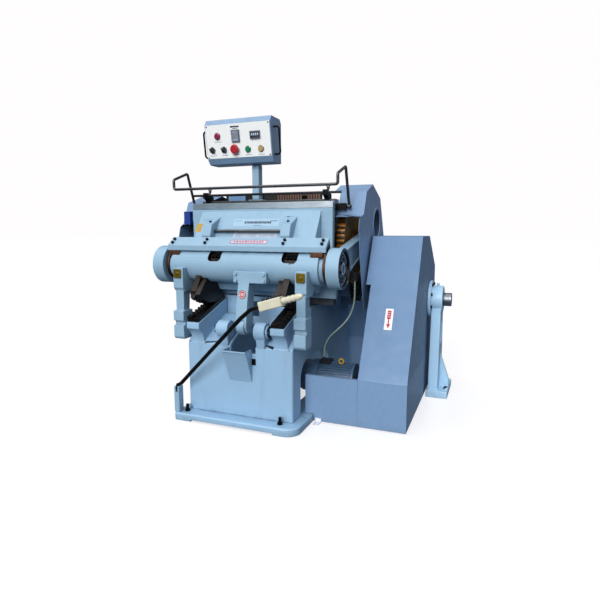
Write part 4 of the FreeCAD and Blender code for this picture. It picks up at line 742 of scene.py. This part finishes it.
LEAN = math.hypot(0.042, 0.242)
panel = Face((0, 0.420, 1.870), (0, -0.242 / LEAN, -0.042 / LEAN))
ON_PANEL = 0.0032
CONTROLS = ((-0.408, 0.065), (-0.309, 0.063), (-0.212, 0.065), (-0.110, 0.059), (-0.005, 0.057))
SCREENS = ((-0.203, 0.156, 0.066, 0.088), (-0.044, 0.155, 0.082, 0.054))
face_of_panel = (ON_PANEL, ON_PANEL + 0.0006)
captions = []
for n, (x, y) in enumerate(CONTROLS):
    captions += dashes(x - 0.024, x + 0.024, y - 0.040, 0.005, 0.006, 0.003, n)
captions += dashes(-0.385, -0.327, 0.122, 0.005, 0.006, 0.003, 3)
captions += dashes(-0.072, -0.016, 0.118, 0.004, 0.006, 0.003, 5)
stamp("panel_captions", panel, grey_ink, "control_box", captions, face_of_panel)
stamp("panel_mark", panel, ink, "control_box",
      [oblong(-0.203, 0.222, 0.066, 0.010, 0.002), oblong(-0.203, 0.210, 0.044, 0.005),
       oblong(-0.236, 0.222, 0.012, 0.014, 0.002)], face_of_panel)
(mx, my, mw, mh), (dx, dy, dw, dh) = SCREENS
glass = (ON_PANEL + 0.009, ON_PANEL + 0.0102)
stamp("meter_glass", panel, grey_screen, "control_box",
      [oblong(mx, my, mw - 0.012, mh - 0.012, 0.003)], glass, bevel=0.0004)
stamp("counter_glass", panel, dark_screen, "control_box",
      [oblong(dx, dy, dw - 0.012, dh - 0.014, 0.003)], glass, bevel=0.0004)
marks = (glass[1] - 0.0002, glass[1] + 0.0004)
ticks = []
for i in range(7):
    a = math.radians(150 - 20 * i)
    ticks.append(oblong(mx + 0.020 * math.cos(a), my + 0.012 + 0.020 * math.sin(a),
                        0.006, 0.0014, turn=a))
ticks.append(oblong(mx - 0.004, my + 0.020, 0.022, 0.0014, turn=math.radians(118)))
for i in range(5):
    ticks.append(oblong(mx - 0.018 + 0.009 * i, my - 0.026, 0.006, 0.007, 0.001))
for i in range(4):
    ticks.append(oblong(dx - 0.024 + 0.016 * i, dy + 0.004, 0.0105, 0.017, 0.001))
stamp("display_marks", panel, label_plate, "control_box", ticks, marks)

web = Face((0, 0.215, 1.265), (0, -0.8434, 0.5374))
stamp("web_label_left", web, label_yellow, "platen",
      [oblong(-0.462, 0.110, 0.048, 0.072, 0.003)])
stamp("web_label_right", web, label_yellow, "platen",
      [oblong(-0.344, 0.125, 0.078, 0.036, 0.003), oblong(-0.400, 0.139, 0.02, 0.012)])
label_lines = []
for y in (0.185, 0.172, 0.160):
    label_lines += dashes(-0.450, -0.325, y, 0.0032, 0.014, 0.004, int(y * 1000))
for step_up in (-0.018, 0.0, 0.018):
    label_lines += dashes(-0.478, -0.446, 0.110 + step_up, 0.0035, 0.010, 0.003, 4)
stamp("web_print_lines", web, grey_ink, "platen", label_lines,
      (0.0, 0.0011))
stamp("web_strip", web, strip_tint, "platen",
      [oblong(0.0, 0.155, 0.36, 0.062, 0.004)], (0.0, 0.0005))
stamp("web_strip_print", web, ink, "platen",
      dashes(-0.090, 0.114, 0.153, 0.018, 0.011, 0.003, 2)
      + dashes(-0.162, -0.124, 0.166, 0.004, 0.008, 0.003, 1)
      + dashes(0.118, 0.168, 0.166, 0.006, 0.010, 0.003, 6)
      + dashes(-0.014, 0.046, 0.129, 0.004, 0.008, 0.003, 9), (0.0, 0.0010))
stamp("data_plate", web, label_plate, "platen",
      [oblong(0.018, 0.038, 0.342, 0.074, 0.004)], (0.0, 0.0008), bevel=0.0003)
lines = []
for k, y in enumerate((0.066, 0.058, 0.050, 0.042, 0.034, 0.026, 0.018, 0.010)):
    lines += dashes(-0.135, 0.030, y, 0.0030, 0.018, 0.005, k)
    lines += dashes(0.050, 0.176, y, 0.0030, 0.016, 0.005, k + 3)
stamp("data_plate_print", web, grey_ink, "platen", lines, (0.0, 0.0013))
stamp("data_plate_rivets", web, rod_steel, "platen",
      [disc(x, y, 0.0035, 14) for x in (-0.147, 0.183) for y in (0.007, 0.069)], (0.0, 0.0022),
      bevel=0.0008)
# A black disc stands for the hole: painted shade where the hole is.
stamp("web_hole_shade", web, black_oxide, "platen", [disc(0.226, 0.138, 0.009, 20)],
      (0.0, 0.0012))

beam_top = Face((0, 0.074, 1.232), (0, -0.613, 0.790))
rim = oblong(0.036, 0.046, 0.286, 0.040, 0.018)
stamp("beam_label", beam_top, enamel_pale, "throw_off_yoke",
      [oblong(0.036, 0.046, 0.280, 0.034, 0.015)], (0.0, 0.0005))
stamp("beam_label_rim", beam_top, red_ink, "throw_off_yoke",
      dashes(-0.080, 0.152, 0.046, 0.015, 0.014, 0.007, 1), (0.0, 0.0011),
      bands=[(rim, oblong(0.036, 0.046, 0.276, 0.030, 0.014))])

badge = Face((0.040, 0.0002, 0.911), (0, -0.9806, 0.1961))
stamp("badge_rim", badge, silver_disc, "platen", [], (-0.003, 0.0024),
      bands=[(disc(0, 0, 0.031, 36), disc(0, 0, 0.026, 36))], bevel=0.0004)
stamp("badge_face", badge, signal_red, "platen", [disc(0, 0, 0.0265, 36)],
      (-0.003, 0.0016))
stamp("badge_mark", badge, label_white, "platen",
      [oblong(0, 0.006, 0.020, 0.0035, 0.001), oblong(0, -0.001, 0.026, 0.0035, 0.001),
       oblong(0, -0.008, 0.018, 0.0035, 0.001)], (0.0014, 0.0022),
      bands=[(disc(0, 0, 0.0215, 36), disc(0, 0, 0.0190, 36))])

slant = Face((0, 0.220, 0.335), (0, -960 / 1090, 516 / 1090))
ax, ay = 0.948, 0.447
stamp("arrow_label", slant, label_white, "frame",
      [oblong(ax, ay, 0.054, 0.155, 0.003)], (0.0, 0.0006))
head = [(ax, ay - 0.066), (ax + 0.015, ay - 0.036), (ax - 0.015, ay - 0.036)]
stamp("arrow_mark", slant, signal_red, "frame",
      [oblong(ax, ay + 0.033, 0.026, 0.062, 0.001), oblong(ax, ay - 0.018, 0.009, 0.040), head],
      (0.0, 0.0011))
stamp("arrow_mark_lines", slant, label_white, "frame",
      dashes(ax - 0.008, ax + 0.008, ay + 0.050, 0.004, 0.006, 0.002, 1)
      + dashes(ax - 0.008, ax + 0.008, ay + 0.034, 0.004, 0.006, 0.002, 2)
      + dashes(ax - 0.008, ax + 0.008, ay + 0.018, 0.004, 0.006, 0.002, 4), (0.0010, 0.0015))

# bolts at the bottom of the barrel's pockets
for n, x in enumerate((-0.209, 0.358)):
    floor_of_pocket = Face((x, AXIS_Y - 0.0622, AXIS_Z + 0.0622), (0, -0.7071, 0.7071))
    stamp("pocket_bolts_%d" % (n + 1), floor_of_pocket, black_oxide, "platen",
          [oblong(dx, 0.0, 0.020, 0.020, 0.005, 0.4) for dx in (-0.027, 0.0, 0.027)],
          (-0.006, 0.019), bevel=0.002)

# a slatted screen and a cover plate on the rear rail, seen over the bed
rail = Face((0, 0.578, 1.548), (0, -1, 0))
stamp("rail_slats", rail, slat_brown, "frame",
      [oblong(0.055 + 0.0205 * i, 0.029, 0.0125, 0.052, 0.002) for i in range(17)],
      (0.0, 0.006), bevel=0.001)
stamp("rail_cover", rail, sheet, "frame",
      [oblong(-0.300, 0.030, 0.150, 0.050, 0.004)], (0.0, 0.006), bevel=0.001)

# retainer plates and their bolts on the ends of the cross shaft
for side, sign in (("right", 1), ("left", -1)):
    end = Face((sign * 0.690, 0.160, 1.090), (sign, 0, 0), right=(0, sign, 0))
    stamp("shaft_cap_" + side, end, dark_rod, "cross_shaft",
          [disc(0, 0, 0.084, 44)], (0.0, 0.006), bevel=0.0015)
    stamp("ring_seal_" + side, end, silver_disc, "draw_bars", [],
          (-0.0105, 0.001), bands=[(disc(0, 0, 0.108, 56), disc(0, 0, 0.098, 56))],
          bevel=0.0015)
    stamp("shaft_ring_" + side, end, silver_disc, "cross_shaft", [],
          (0.006, 0.0085), bands=[(disc(0, 0, 0.040, 40), disc(0, 0, 0.030, 40))], bevel=0.0008)
    heads = [oblong(0.061 * math.cos(a), 0.061 * math.sin(a), 0.017, 0.017, 0.0045, a)
             for a in (math.tau * i / 6 + 0.3 for i in range(6))]
    stamp("shaft_bolts_" + side, end, black_oxide, "cross_shaft", heads,
          (0.006, 0.0125), bevel=0.0012)

# ---------------------------------------------------------------- light and floor


def stage_floor():
    mesh = bpy.data.meshes.new("studio_floor")
    reach = 60.0
    mesh.from_pydata([(-reach, -reach, 0), (reach, -reach, 0), (reach, reach, 0),
                      (-reach, reach, 0)], [], [(0, 1, 2, 3)])
    floor = bpy.data.objects.new("studio_floor", mesh)
    scene.collection.objects.link(floor)
    f = Finish("studio_floor", roughness=0.4, emission_strength=0.66)
    f.shader.inputs["Emission Color"].default_value = (1.0, 0.99, 1.0, 1.0)
    f.colour(f.ramp(f.noise(0.6, 2.0), (0.3, (0.36, 0.36, 0.37)), (0.7, (0.39, 0.39, 0.40))))
    mesh.materials.append(f.material)
    floor.visible_diffuse = False
    floor.visible_glossy = False


def sun(name, direction, energy, angle):
    data = bpy.data.lights.new(name, "SUN")
    data.energy = energy
    data.angle = math.radians(angle)
    light = bpy.data.objects.new(name, data)
    light.rotation_mode = "QUATERNION"
    light.rotation_quaternion = Vector(direction).to_track_quat("-Z", "Y")
    scene.collection.objects.link(light)


stage_floor()
sun("key", (-0.04, 1.0, -0.52), 2.6, 34.0)
sun("top", (0.25, 0.15, -1.0), 1.1, 60.0)
sun("rim", (-0.9, -0.4, -0.5), 0.05, 50.0)

world = bpy.data.worlds.new("studio")
scene.world = world
world.use_nodes = True
tree = world.node_tree
back = tree.nodes["Background"]
where = tree.nodes.new("ShaderNodeTexCoord")
split = tree.nodes.new("ShaderNodeSeparateXYZ")
tree.links.new(where.outputs["Generated"], split.inputs["Vector"])
sky = tree.nodes.new("ShaderNodeValToRGB")
sky.color_ramp.elements[0].position = 0.0
sky.color_ramp.elements[0].color = (0.13, 0.145, 0.165, 1)
sky.color_ramp.elements[1].position = 1.0
sky.color_ramp.elements[1].color = (0.44, 0.455, 0.475, 1)
tree.links.new(split.outputs["Z"], sky.inputs["Fac"])
seen = tree.nodes.new("ShaderNodeLightPath")
pick_sky = tree.nodes.new("ShaderNodeMix")
pick_sky.data_type = "RGBA"
FACTOR, COLOUR_A, COLOUR_B, COLOUR_OUT = 0, 6, 7, 2  # sockets of a colour Mix node
tree.links.new(seen.outputs["Is Camera Ray"], pick_sky.inputs[FACTOR])
tree.links.new(sky.outputs["Color"], pick_sky.inputs[COLOUR_A])
pick_sky.inputs[COLOUR_B].default_value = (1.0, 0.985, 0.99, 1)
tree.links.new(pick_sky.outputs[COLOUR_OUT], back.inputs["Color"])
back.inputs["Strength"].default_value = 1.0
scene.view_settings.view_transform = "Standard"
